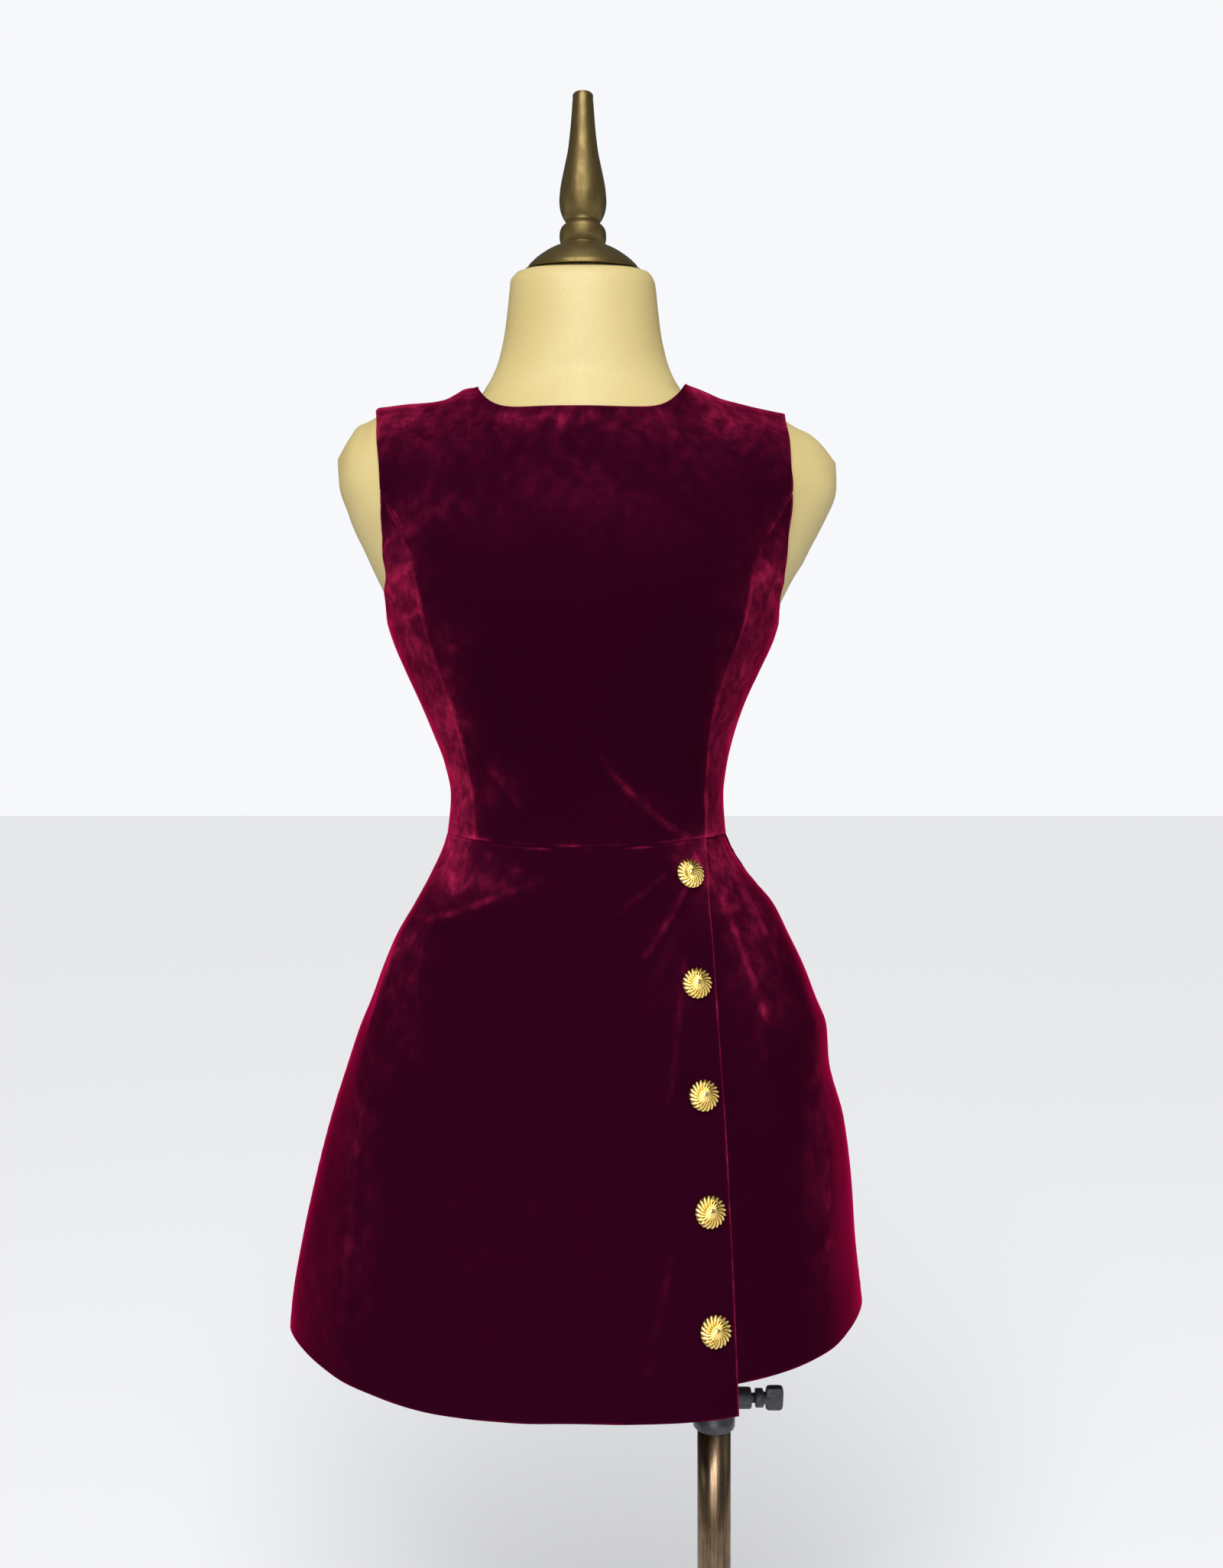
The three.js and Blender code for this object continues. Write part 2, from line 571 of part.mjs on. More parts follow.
function buildBodice() {
  addMesh('bodice_front', centrePanel(FRONT_PRINCESS, -1, 24, -1, 1, 0), VELVET);
  addMesh('back_left', centrePanel(BACK_PRINCESS, 1, 12, -1, 0, -SEAM_GAP / 2), VELVET);
  addMesh('back_right', centrePanel(BACK_PRINCESS, 1, 12, 0, 1, SEAM_GAP / 2), VELVET);
  for (const direction of [-1, 1]) {
    const name = sideName(direction);
    addMesh(`side_front_${name}`, sidePanel(FRONT_PRINCESS, -1, direction, 5), VELVET);
    addMesh(`side_back_${name}`, sidePanel(BACK_PRINCESS, 1, direction, 6), VELVET);
  }
}

function buildSkirt() {
  const flapAngle = (z) => angleAtX(flapEdgeX(z), z);
  const underAngle = (z) => angleAtX(flapEdgeX(z) - LAP_WIDTH, z);
  const centreGap = (z) => angleAtX(SEAM_GAP / 2, z);
  const left = () => -SIDE_SEAM;
  const right = () => SIDE_SEAM;
  addMesh('skirt_front', skirtPanel(-1, 16, 24, left, flapAngle, () => HEM_Z), VELVET);
  addMesh('skirt_underlap',
    skirtPanel(-1, 16, 13, underAngle, right, () => UNDERLAP_HEM_Z, underlapBare), VELVET);
  const backHem = (x) => hemHeight(x, 1);
  addMesh('skirt_back_left', skirtPanel(1, 14, 14, left, (z) => -centreGap(z), backHem), VELVET);
  addMesh('skirt_back_right', skirtPanel(1, 14, 14, centreGap, right, backHem), VELVET);
}

// A button: a domed top with a fluted rim over a flat underside and a short shank.
const BUTTON_FLUTES = 12;
const BUTTON_STEPS = 24;
const BUTTON_PROFILE = [
  { radius: 3, height: 0 },
  { radius: 3, height: 1.4 },
  { radius: 12, height: 2.2 },
  { radius: 9, height: 4.6 },
  { radius: 4.5, height: 6 },
];
const BUTTON_CROWN = 6.6;
const FLUTE_DEPTH = 0.35;
const BUTTON_LIFT = 0.35;

function buttonGeometry() {
  const positions = [];
  for (const { radius, height } of BUTTON_PROFILE) {
    for (let k = 0; k < BUTTON_STEPS; k += 1) {
      const angle = (2 * Math.PI * k) / BUTTON_STEPS;
      const fluted = radius > BUTTON_RADIUS * 0.7;
      const flute = fluted ? FLUTE_DEPTH * Math.cos(BUTTON_FLUTES * angle) : 0;
      const reach = radius + flute;
      positions.push(reach * Math.cos(angle), reach * Math.sin(angle), height);
    }
  }
  positions.push(0, 0, 0, 0, 0, BUTTON_CROWN);
  const bottom = BUTTON_PROFILE.length * BUTTON_STEPS;
  const top = bottom + 1;
  const lastRing = (BUTTON_PROFILE.length - 1) * BUTTON_STEPS;
  const faces = [];
  for (let k = 0; k < BUTTON_STEPS; k += 1) {
    const next = (k + 1) % BUTTON_STEPS;
    faces.push(bottom, next, k);
    faces.push(top, lastRing + k, lastRing + next);
    for (let ring = 0; ring < BUTTON_PROFILE.length - 1; ring += 1) {
      const low = ring * BUTTON_STEPS;
      const high = low + BUTTON_STEPS;
      faces.push(low + k, low + next, high + next, low + k, high + next, high + k);
    }
  }
  return closedGeometry(positions, faces);
}

function buildButtons() {
  for (let k = 0; k < BUTTON_COUNT; k += 1) {
    const z = BUTTON_TOP_Z - k * BUTTON_SPACING;
    const { point, normal } = dressPoint(flapEdgeX(z) - BUTTON_INSET, z, -1, BUTTON_LIFT);
    const button = addMesh(`button_${k + 1}`, buttonGeometry(), GILT, point);
    button.quaternion.setFromUnitVectors(new THREE.Vector3(0, 0, 1), normal);
  }
}

// The form's torso: rings from the hips to the neck's top, with shoulder caps and no limbs.
const FORM_POWER = 2.15;
const FORM_STEPS = 28;
const FORM_RINGS = [
  715, 740, 780, 820, 860, 900, 945, 996, 1030, 1060, 1090, 1125, 1160, 1190, 1215, 1240, 1265,
  1290, 1316, 1340, 1353, 1362, 1369, 1375, 1380, 1385, 1390, 1395, 1400, 1406, 1412, 1419, 1430, 1445,
  1460, 1474, 1488, 1497, 1500,
];

// How softly the chest passes into the neck.
const NECK_BLEND = 8;

// The form's shoulder ends in a rounded cap that falls away from the dress.
const CAP_START_X = 180;
const CAP_END_X = 214;
const CAP_FALL = 26;
const CAP_CURVE = 1.6;

function formShoulderHeight(x) {
  const drop = lookUp(SHOULDER_LINE, 'formDrop', Math.abs(x), 'x');
  const cap = CAP_FALL * smoothStep(CAP_START_X, CAP_END_X, Math.abs(x)) ** CAP_CURVE;
  return shoulderHeight(x) - drop - cap;
}

function formDepth(x, z, side) {
  const half = lookUp(FORM_SECTIONS, 'half', z);
  const across = Math.min(Math.abs(x) / half, 1);
  const depth = lookUp(FORM_SECTIONS, side < 0 ? 'front' : 'back', z);
  const round = ridgeRounding(x, z, formShoulderHeight(x));
  const chest = depth * (1 - across ** FORM_POWER) ** (1 / FORM_POWER) * round;
  if (z < NECK_SECTIONS[0].z) return chest;
  const neckAcross = Math.min(Math.abs(x) / lookUp(NECK_SECTIONS, 'half', z), 1);
  const neck = lookUp(NECK_SECTIONS, 'depth', z) * Math.sqrt(1 - neckAcross * neckAcross);
  const near = Math.max(NECK_BLEND - Math.abs(chest - neck), 0) / NECK_BLEND;
  return Math.max(chest, neck) + (NECK_BLEND / 4) * near * near;
}

// The form's half-width at a height: its section, the neck, or where the shoulder's ridge has that height.
function formHalfWidth(z, direction) {
  const section = lookUp(FORM_SECTIONS, 'half', z);
  let low = 0;
  let high = section;
  if (formShoulderHeight(direction * section) < z) {
    for (let k = 0; k < 40; k += 1) {
      const middle = (low + high) / 2;
      if (formShoulderHeight(direction * middle) > z) low = middle;
      else high = middle;
    }
  }
  const neck = z < NECK_SECTIONS[0].z ? 0 : lookUp(NECK_SECTIONS, 'half', z);
  return Math.max(high, neck);
}

// The neck's top leans forward: it is lower in front and higher behind, and so is the rim of its cap.
function tiltLift(y, z) {
  const rising = smoothStep(NECK_TILT_START_Z, NECK_TOP_Z, z);
  return NECK_TILT * y * rising * (1 - smoothStep(NECK_TOP_Z + 1, CAP_TOP_Z, z));
}

// How much further out the end of each arm stump lies than its section says.
const ARM_REACH = [
  { z: 1200, left: 0, right: 0 },
  { z: 1224, left: 0, right: 3.5 },
  { z: 1240, left: 1.3, right: 5.5 },
  { z: 1255, left: 2, right: 8.5 },
  { z: 1270, left: 1.9, right: 8.8 },
  { z: 1285, left: 0, right: 8 },
  { z: 1301, left: -2.3, right: 7.6 },
  { z: 1316, left: -3, right: 5.8 },
  { z: 1332, left: -3.2, right: 4 },
  { z: 1347, left: -2.6, right: 2.6 },
  { z: 1358, left: -2.6, right: 1 },
  { z: 1368, left: 0, right: 0 },
];

function armReach(x, z, half) {
  const reach = lookUp(ARM_REACH, x < 0 ? 'left' : 'right', z);
  return Math.sign(x) * reach * smoothStep(0.86, 1, Math.abs(x) / half);
}

function torsoGeometry() {
  const positions = [];
  for (const z of FORM_RINGS) {
    for (let k = 0; k < FORM_STEPS; k += 1) {
      const angle = (2 * Math.PI * k) / FORM_STEPS;
      const side = Math.sin(angle) < 0 ? -1 : 1;
      const direction = Math.cos(angle) < 0 ? -1 : 1;
      const half = formHalfWidth(z, direction);
      const x = direction * half * Math.abs(Math.cos(angle)) ** (2 / FORM_POWER);
      const onRidge = Math.abs(Math.sin(angle)) < 1e-6;
      const y = onRidge ? 0 : side * formDepth(x, z, side);
      positions.push(x + armReach(x, z, half), y, z + tiltLift(y, z));
    }
  }
  const top = FORM_RINGS.length * FORM_STEPS;
  positions.push(0, 0, NECK_TOP_Z, 0, 0, FORM_BOTTOM_Z);
  const faces = [];
  const lastRing = (FORM_RINGS.length - 1) * FORM_STEPS;
  for (let k = 0; k < FORM_STEPS; k += 1) {
    const next = (k + 1) % FORM_STEPS;
    faces.push(top, lastRing + k, lastRing + next);
    faces.push(top + 1, next, k);
    for (let ring = 0; ring < FORM_RINGS.length - 1; ring += 1) {
      const low = ring * FORM_STEPS;
      const high = low + FORM_STEPS;
      faces.push(low + k, low + next, high + next, low + k, high + next, high + k);
    }
  }
  return closedGeometry(positions, faces);
}

function toManifold(geometry) {
  const plain = geometry.clone();
  plain.deleteAttribute('normal');
  plain.deleteAttribute('uv');
  const merged = mergeVertices(plain, 1e-4);
  const vertProperties = new Float32Array(merged.attributes.position.array);
  const triVerts = new Uint32Array(merged.index.array);
  return new wasm.Manifold(new wasm.Mesh({ numProp: 3, vertProperties, triVerts }));
}

function fromManifold(solid) {
  const mesh = solid.getMesh();
  const geometry = new THREE.BufferGeometry();
  geometry.setAttribute('position', new THREE.Float32BufferAttribute(mesh.vertProperties, 3));
  geometry.setIndex([...mesh.triVerts]);
  geometry.computeVertexNormals();
  return geometry;
}

// A turned solid about the vertical axis, from rows of radius and height that start and end on the axis.
function turned(profile, steps) {
  const points = profile.map(([radius, height]) => new THREE.Vector2(radius, height));
  const geometry = new THREE.LatheGeometry(points, steps);
  geometry.rotateX(Math.PI / 2);
  return geometry;
}

function disc(radius, bottomZ, topZ, steps) {
  const geometry = new THREE.CylinderGeometry(radius, radius, topZ - bottomZ, steps);
  geometry.rotateX(Math.PI / 2);
  geometry.translate(0, 0, (topZ + bottomZ) / 2);
  return geometry;
}

// The neck's cap and the turned finial: radius and height of each turn.
const CAP_PROFILE = [
  [0, 1500.3], [45.8, 1500.3], [45, 1503.8], [40, 1507.8], [32, 1512], [24, 1515], [17, CAP_TOP_Z],
  [0, CAP_TOP_Z],
];
const FINIAL_PROFILE = [
  [0, 1517.4], [15, 1517.4], [16.4, 1519], [19, 1523.5], [19.6, 1528.5], [18.6, 1533.5], [13.7, 1539],
  [16.6, 1544], [18.9, 1550], [19.8, 1557], [19.4, 1564], [18.7, 1570], [16.9, 1579.5], [15, 1588.5],
  [12.8, 1599.5], [10.9, 1615], [9.6, 1630], [8.6, 1643.5], [7.8, 1647.1], [0, 1647.8],
];

function tiltedCap() {
  const geometry = turned(CAP_PROFILE, 28);
  const places = geometry.attributes.position;
  for (let k = 0; k < places.count; k += 1) {
    places.setZ(k, places.getZ(k) + tiltLift(places.getY(k), places.getZ(k)));
  }
  geometry.computeVertexNormals();
  return geometry;
}

function buildForm() {
  const bore = disc(ROD_RADIUS + FIT_GAP, FORM_BOTTOM_Z - OVERRUN, FORM_BOTTOM_Z + ROD_SOCKET_DEPTH, 24);
  bore.translate(POLE_X, 0, 0);
  const torso = toManifold(torsoGeometry()).subtract(toManifold(bore));
  addMesh('torso', fromManifold(torso), JERSEY);
  addMesh('neck_cap', tiltedCap(), GOLD_PAINT);
  addMesh('finial', turned(FINIAL_PROFILE, 16), GOLD_PAINT);
  const rodTop = FORM_BOTTOM_Z + ROD_SOCKET_DEPTH - FIT_GAP;
  addMesh('height_rod', disc(ROD_RADIUS, ROD_BOTTOM_Z, rodTop, 24), STEEL, new THREE.Vector3(POLE_X, 0, 0));
}

// The stand: a round base, a flanged socket, the pole tube and the clamp with its thumbscrew.
const FLANGE_RADIUS = 34;
const NECK_RADIUS = 18.5;

function buildStand() {
  const polePlace = new THREE.Vector3(POLE_X, 0, 0);
  const poleBottom = BASE_THICKNESS + FIT_GAP;
  addMesh('base_plate', disc(BASE_RADIUS, 0, BASE_THICKNESS, 48), BASE_METAL);
  const tube = turned([
    [POLE_BORE_RADIUS, poleBottom], [POLE_RADIUS, poleBottom], [POLE_RADIUS, POLE_TOP_Z],
    [POLE_BORE_RADIUS, POLE_TOP_Z], [POLE_BORE_RADIUS, poleBottom],
  ], 24);
  addMesh('pole', tube, STEEL, polePlace);
  const socketBore = POLE_RADIUS + FIT_GAP;
  const socketTop = poleBottom + BASE_SOCKET_HEIGHT;
  const socket = turned([
    [socketBore, poleBottom], [FLANGE_RADIUS, poleBottom], [FLANGE_RADIUS, poleBottom + 5],
    [NECK_RADIUS + 1.5, poleBottom + 12], [NECK_RADIUS, socketTop - 1.5], [NECK_RADIUS - 1, socketTop],
    [socketBore, socketTop], [socketBore, poleBottom],
  ], 28);
  addMesh('base_socket', socket, STEEL, polePlace);
  buildClamp(polePlace);
}

// The clamp sits over the pole's top and holds the rod: a collar with a threaded boss.
const BOSS_RADIUS = 8.5;
const BOSS_END = 31;
const SCREW_BORE = 4.4;
const SCREW_RADIUS = 4;
const SCREW_TILT = THREE.MathUtils.degToRad(15);
const SHAFT_END = 47;
const RING = { radius: 7.5, from: 34.5, to: 41 };
const WING = { thick: 7, wide: 15, tall: 22, middle: 50.5 };
const WING_ROOT = { thick: 9, wide: 6, tall: 12, middle: 44 };

function alongX(radius, from, to, steps) {
  const geometry = new THREE.CylinderGeometry(radius, radius, to - from, steps);
  geometry.rotateZ(Math.PI / 2);
  geometry.translate((from + to) / 2, 0, 0);
  return geometry;
}

function blockAlongX({ thick, wide, tall, middle }) {
  const geometry = new THREE.BoxGeometry(wide, thick, tall);
  geometry.translate(middle, 0, 0);
  return geometry;
}

function buildClamp(polePlace) {
  const collar = toManifold(disc(CLAMP_RADIUS, CLAMP_BOTTOM_Z, CLAMP_TOP_Z, 28));
  const bossGeometry = alongX(BOSS_RADIUS, ROD_RADIUS, BOSS_END, 20);
  bossGeometry.translate(0, 0, SCREW_Z);
  const poleBore = disc(POLE_RADIUS + FIT_GAP, CLAMP_BOTTOM_Z - OVERRUN, POLE_TOP_Z + FIT_GAP, 24);
  const rodBore = disc(ROD_RADIUS + FIT_GAP, CLAMP_BOTTOM_Z, CLAMP_TOP_Z + OVERRUN, 24);
  const screwBore = alongX(SCREW_BORE, 0, BOSS_END + OVERRUN, 16);
  screwBore.translate(0, 0, SCREW_Z);
  const clamp = collar.add(toManifold(bossGeometry)).subtract(toManifold(poleBore))
    .subtract(toManifold(rodBore)).subtract(toManifold(screwBore));
  addMesh('clamp_collar', fromManifold(clamp), DARK_METAL, polePlace);

  const shaft = toManifold(alongX(SCREW_RADIUS, ROD_RADIUS + FIT_GAP, SHAFT_END, 16));
  const ring = toManifold(alongX(RING.radius, RING.from, RING.to, 18));
  const screw = shaft.add(ring).add(toManifold(blockAlongX(WING))).add(toManifold(blockAlongX(WING_ROOT)));
  const screwPlace = new THREE.Vector3(POLE_X, 0, SCREW_Z);
  const mesh = addMesh('clamp_screw', fromManifold(screw), DARK_METAL, screwPlace);
  mesh.rotation.x = SCREW_TILT;
}

buildBodice();
buildSkirt();
buildButtons();
buildForm();
buildStand();

export default model;
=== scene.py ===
# A sleeveless velvet dress with a button-lapped skirt, worn by a limbless dress form on a pole stand.
# Shapes are worked out in millimetres and written to the meshes in metres.
import json
import math

import bpy
import numpy as np
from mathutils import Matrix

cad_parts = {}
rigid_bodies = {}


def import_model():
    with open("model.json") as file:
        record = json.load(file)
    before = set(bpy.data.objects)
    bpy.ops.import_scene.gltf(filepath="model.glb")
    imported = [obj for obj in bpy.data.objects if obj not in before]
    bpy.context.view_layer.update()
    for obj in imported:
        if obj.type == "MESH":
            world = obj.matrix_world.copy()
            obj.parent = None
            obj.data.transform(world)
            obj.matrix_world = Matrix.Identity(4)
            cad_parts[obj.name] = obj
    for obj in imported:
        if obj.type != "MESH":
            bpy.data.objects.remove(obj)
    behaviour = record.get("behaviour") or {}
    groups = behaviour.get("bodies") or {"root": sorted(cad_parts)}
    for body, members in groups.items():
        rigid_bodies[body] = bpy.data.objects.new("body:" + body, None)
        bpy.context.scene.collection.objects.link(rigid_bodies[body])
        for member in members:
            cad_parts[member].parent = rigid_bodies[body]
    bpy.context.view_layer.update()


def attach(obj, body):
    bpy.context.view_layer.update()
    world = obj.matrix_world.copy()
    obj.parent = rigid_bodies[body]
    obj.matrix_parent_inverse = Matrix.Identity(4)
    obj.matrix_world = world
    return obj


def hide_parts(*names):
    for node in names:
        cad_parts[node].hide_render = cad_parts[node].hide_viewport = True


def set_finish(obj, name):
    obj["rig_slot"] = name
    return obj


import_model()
MM = 0.001

# Driving sizes of the cloth.
CLOTH = 1.6
# How far each panel runs past a seam's line, so that no light shows between two.
SEAM_LAP = 0.15
LAP_WIDTH = 45.0
LAP_GAP = 0.8
UNDERARM_Z = 1200.0
WAIST_SIDE_Z = 1029.0
WAIST_DIP = 9.0
BACK_DIP_SHARE = 0.4
HEM_Z = 615.0
UNDERLAP_HEM_Z = 636.0
NECK_HALF_WIDTH = 88.0
NECK_FRONT_Z = 1364.0
NECK_BACK_Z = 1382.0
NECK_FRONT_POWER = 7.0
NECK_BACK_POWER = 4.5
RIDGE_CENTRE_Z = 1445.0
SHOULDER_X = 173.0
ROUNDING_BY_NECK = 80.0
ROUNDING_BY_ARM = 45.0
PRINCESS_TOP_Z = 1299.0
# The rows of a bodice panel come closer over about this height below the shoulder's ridge.
RIDGE_ROWS = 3.0
# The grids' steps along the bodice and the skirt, and closer ones beside each edge.
BODICE_STEP = 3.0
SKIRT_STEP = 3.2
EDGE_STEPS = np.array([0.0, 0.2, 0.55, 1.0, 1.7, 2.8])
# The power of the sine that spreads a section's points: a little under 1 for a squarer section.
ANGLE_POWER = 0.93
FOLD_STEPS = 25

# Driving sizes of the buttons, the form and the stand.
BUTTON_RADIUS = 12.0
BUTTON_INSET = 16.0
BUTTON_TOP_Z = 999.0
BUTTON_SPACING = 81.0
BUTTON_COUNT = 5
BUTTON_LOBES = 20
BUTTON_SWIRL = 0.62
BUTTON_STEPS = 10
FORM_BOTTOM_Z = 715.0
NECK_TOP_Z = 1500.0
NECK_TILT = 0.275
NECK_TILT_START_Z = 1440.0
CAP_TOP_Z = 1517.1
NECK_BLEND = 8.0
FORM_POWER = 2.15
# The form's shoulder ends in a rounded cap that falls away from the dress.
CAP_START_X = 180.0
CAP_END_X = 214.0
CAP_FALL = 26.0
CAP_CURVE = 1.6
FIT_GAP = 0.3
POLE_X = 110.0
POLE_RADIUS = 14.0
POLE_BORE_RADIUS = 12.6
POLE_TOP_Z = 546.0
ROD_RADIUS = 12.0
ROD_BOTTOM_Z = 275.0
ROD_TOP_Z = 804.0
CLAMP_BOTTOM_Z = 531.0
CLAMP_TOP_Z = 577.0
CLAMP_RADIUS = 17.5
SCREW_Z = 554.0
SCREW_TILT = math.radians(15)
BASE_RADIUS = 190.0
BASE_THICKNESS = 5.0
SOCKET_TOP_Z = 51.3


def table(columns, rows):
    """A table's named columns, each with its values from the rows."""
    return dict(zip(columns.split(), np.array(rows, float).T))


# The dress's level sections: half-widths to the left and right, and depths to the front and back.
DRESS_SECTIONS = table("z left right front back", [
    (600, 247, 237.5, 163, 160), (640, 243.5, 234, 158, 156), (690, 235, 228.5, 150, 150),
    (740, 224, 225, 142, 144), (790, 211, 218.5, 133, 137), (840, 195, 205.5, 124, 130),
    (868, 185.5, 203.5, 119, 126), (893, 175, 194, 115, 121), (919, 165.5, 184, 110, 116),
    (945, 154.5, 171.5, 105, 110), (970, 140, 159, 99, 103), (996, 126, 138, 93, 95),
    (1021, 115, 123, 88, 88), (1034, 112, 119, 86, 85), (1060, 110, 117.5, 88, 83),
    (1086, 115, 120.5, 93, 83), (1111, 124.5, 126.5, 99, 85), (1137, 135.5, 135.5, 105, 88),
    (1163, 147.5, 147.5, 111, 92), (1188, 158, 159, 116, 96), (1214, 166, 167, 119, 99),
    (1240, 175, 176, 117, 101), (1265, 185, 186, 111, 101), (1290, 199, 200, 103, 98),
    (1316, 210, 210.5, 94, 93), (1342, 212.5, 213, 84, 86), (1368, 212, 212.5, 74, 76),
    (1410, 211, 211.5, 66, 68),
])
# How square each half of a section is, and how round it is at the side.
DRESS_CURVES = table("z square_left square_right round", [
    (600, 2.45, 3.3, 0.8), (640, 2.45, 3.3, 0.8), (690, 2.4, 3.2, 0.77), (740, 2.4, 3.0, 0.71),
    (790, 2.35, 2.75, 0.63), (840, 2.3, 2.45, 0.55), (868, 2.3, 2.3, 0.52), (893, 2.2, 2.2, 0.48),
    (919, 2.15, 2.15, 0.465), (945, 2.15, 2.15, 0.465),
])

# The dress form's level sections, and its neck's above the shoulders.
FORM_SECTIONS = table("z half front back", [
    (715, 150, 90, 96), (740, 160, 97, 105), (800, 166, 103, 114), (860, 163, 102, 112),
    (900, 152, 97, 106), (945, 134, 91, 97), (996, 114, 84, 85), (1030, 105, 80, 78),
    (1060, 103, 81, 76), (1086, 107, 86, 76.5), (1111, 116, 92, 78), (1137, 127, 98, 81.5),
    (1163, 139, 104.5, 85.5), (1188, 151, 110, 90), (1214, 160, 113.5, 93), (1240, 170, 111.5, 95),
    (1265, 181, 106, 95), (1290, 195, 98, 92.5), (1316, 206, 89, 87.5), (1342, 208.5, 79, 81),
    (1368, 208, 69.5, 71.5), (1410, 207, 61, 63),
])
NECK_SECTIONS = table("z half depth", [
    (1360, 90, 60), (1388, 87, 56.5), (1397, 82.5, 55.5), (1406, 77, 55), (1419, 71.5, 54.5),
    (1430, 68.5, 54), (1445, 65.5, 53.5), (1470, 62.5, 52.5), (1488, 60.5, 51), (1497, 56, 47),
    (1500, 48, 41),
])

# The dress's shoulder ridge by distance from the centre: its height to the left and right, and how far
# the form's own ridge lies below it.
SHOULDER_LINE = table("x left right form_drop", [
    (88, 1399.3, 1400.9, 8.4), (96, 1398.4, 1397.8, 7.8), (105, 1393.4, 1393.8, 6), (114, 1389, 1389.8, 4.1),
    (127, 1386.6, 1386.4, 3.2), (145, 1385.1, 1381.9, 4), (160, 1383.4, 1378.9, 5), (168, 1382.6, 1377.6, 6),
    (173, 1379.8, 1374.8, 6.2), (182, 1376.5, 1370.9, 6.5), (192, 1374.3, 1368.4, 6.5),
    (214, 1370.5, 1368.5, 6.5),
])

# How much further out the end of each arm stump lies than its section says.
ARM_REACH = table("z left right", [
    (1200, 0, 0), (1224, 0, 3.5), (1240, 1.3, 5.5), (1255, 2, 8.5), (1270, 1.9, 8.8), (1285, 0, 8),
    (1301, -2.3, 7.6), (1316, -3, 5.8), (1332, -3.2, 4), (1347, -2.6, 2.6), (1358, -2.6, 1), (1368, 0, 0),
])

# Where the seams, the armholes and the flap's edge run, by height.
FRONT_PRINCESS = table("z left right", [
    (1010, -84, 99), (1029, -84, 99), (1068, -87.5, 99.5), (1110, -96, 102), (1148, -107.5, 111),
    (1177, -117, 121.5), (1207, -124, 130), (1230, -128, 134), (1250, -133, 139.5),
    (1270, -141.5, 149), (1284, -149.5, 157.5), (1299, -156, 165.5),
])
BACK_PRINCESS = table("z left right", [
    (1010, -70, 72), (1060, -72, 74), (1110, -82, 84), (1160, -96, 98), (1210, -110, 112),
    (1250, -124, 126), (1280, -142, 147), (1299, -156, 165.5),
])
ARMHOLE_EDGE = table("z left right", [
    (1200, -161, 161.5), (1214, -159, 161), (1240, -156.5, 163), (1265, -158, 165),
    (1291, -158, 168), (1309, -159, 168), (1316, -159.5, 167), (1342, -163, 166.5),
    (1360, -165.5, 165.5), (1372, -169, 167), (1381, -173, 170),
])
FLAP_EDGE = table("z x", [(600, 116.5), (700, 113.5), (800, 110), (920, 104), (980, 101), (1030, 99)])

# Folds seen from the front or back: a soft ridge (height above 0) or trough along a bent line through
# three places, each an x and a z. Lean drops the cloth beside the ridge, on the line's left or right.
FOLD_COLUMNS = "x0 z0 x1 z1 x2 z2 height width lean"
FRONT_FOLDS = table(FOLD_COLUMNS, [
    # Bodice: the crease above the waist, the pulls by the princess seams and under the neck points.
    (16, 1089, 46, 1049, 82, 1027, 1.9, 5, 0.6),
    (-68, 1078, -57, 1063, -45, 1049, 0.9, 4, 0.4),
    (-154, 1252, -149, 1266, -126, 1265, 1.5, 5, -0.5),
    (-154, 1224, -142, 1229, -130, 1238, 2.2, 5, -0.6),
    (-160, 1197, -143, 1197, -129, 1201, 1.8, 5, -0.6),
    (138, 1245, 151, 1236, 165, 1226, 2.0, 5, 0.6),
    (143, 1229, 150, 1216, 156, 1200, 1.5, 5, 0.5),
    (159, 1265, 164, 1247, 168, 1222, 1.2, 5, 0.4),
    (-90, 1380, -88, 1356, -86, 1330, 0.8, 4, 0.4),
    (74, 1376, 72, 1346, 71, 1322, 0.8, 4, -0.4),
    # Skirt front: the pulls from the left hip, the waist and the first button.
    (-107, 1022, -103, 1000, -98, 978, 1.6, 4, 0.5),
    (-116, 962, -68, 979, -32, 995, 2.3, 7, 0.6),
    (-80, 1018, -65, 1012, -45, 1000, 1.0, 4, 0.5),
    (-139, 972, -148, 930, -163, 886, 2.6, 9, 0.4),
    (82, 990, 70, 966, 50, 940, 1.8, 5, -0.5),
    (64, 998, 47, 984, 27, 969, 1.4, 4.5, -0.5),
    (79, 934, 75, 900, 67, 832, 1.3, 7, 0.4),
    (84, 1015, 78, 1004, 74, 1012, 0.8, 4, 0.3),
    (69, 732, 60, 694, 50, 650, 1.2, 9, 0.3),
    # Skirt sides: where the front turns to the side, and the long soft flutes down to the hem.
    (-150, 930, -174, 830, -182, 640, 3.0, 17, 0.2),
    (180, 905, 192, 811, 192, 640, 2.8, 15, 0.2),
    (-20, 800, -24, 700, -20, 618, -2.5, 38, 0),
    (-96, 780, -104, 700, -110, 618, 1.6, 26, 0.3),
    # Underlap: the two folds that fall from the waist beside the flap.
    (105, 992, 124, 956, 142, 890, 2.4, 6, 0.6),
    (118, 1016, 134, 980, 153, 934, 1.7, 5, 0.6),
])
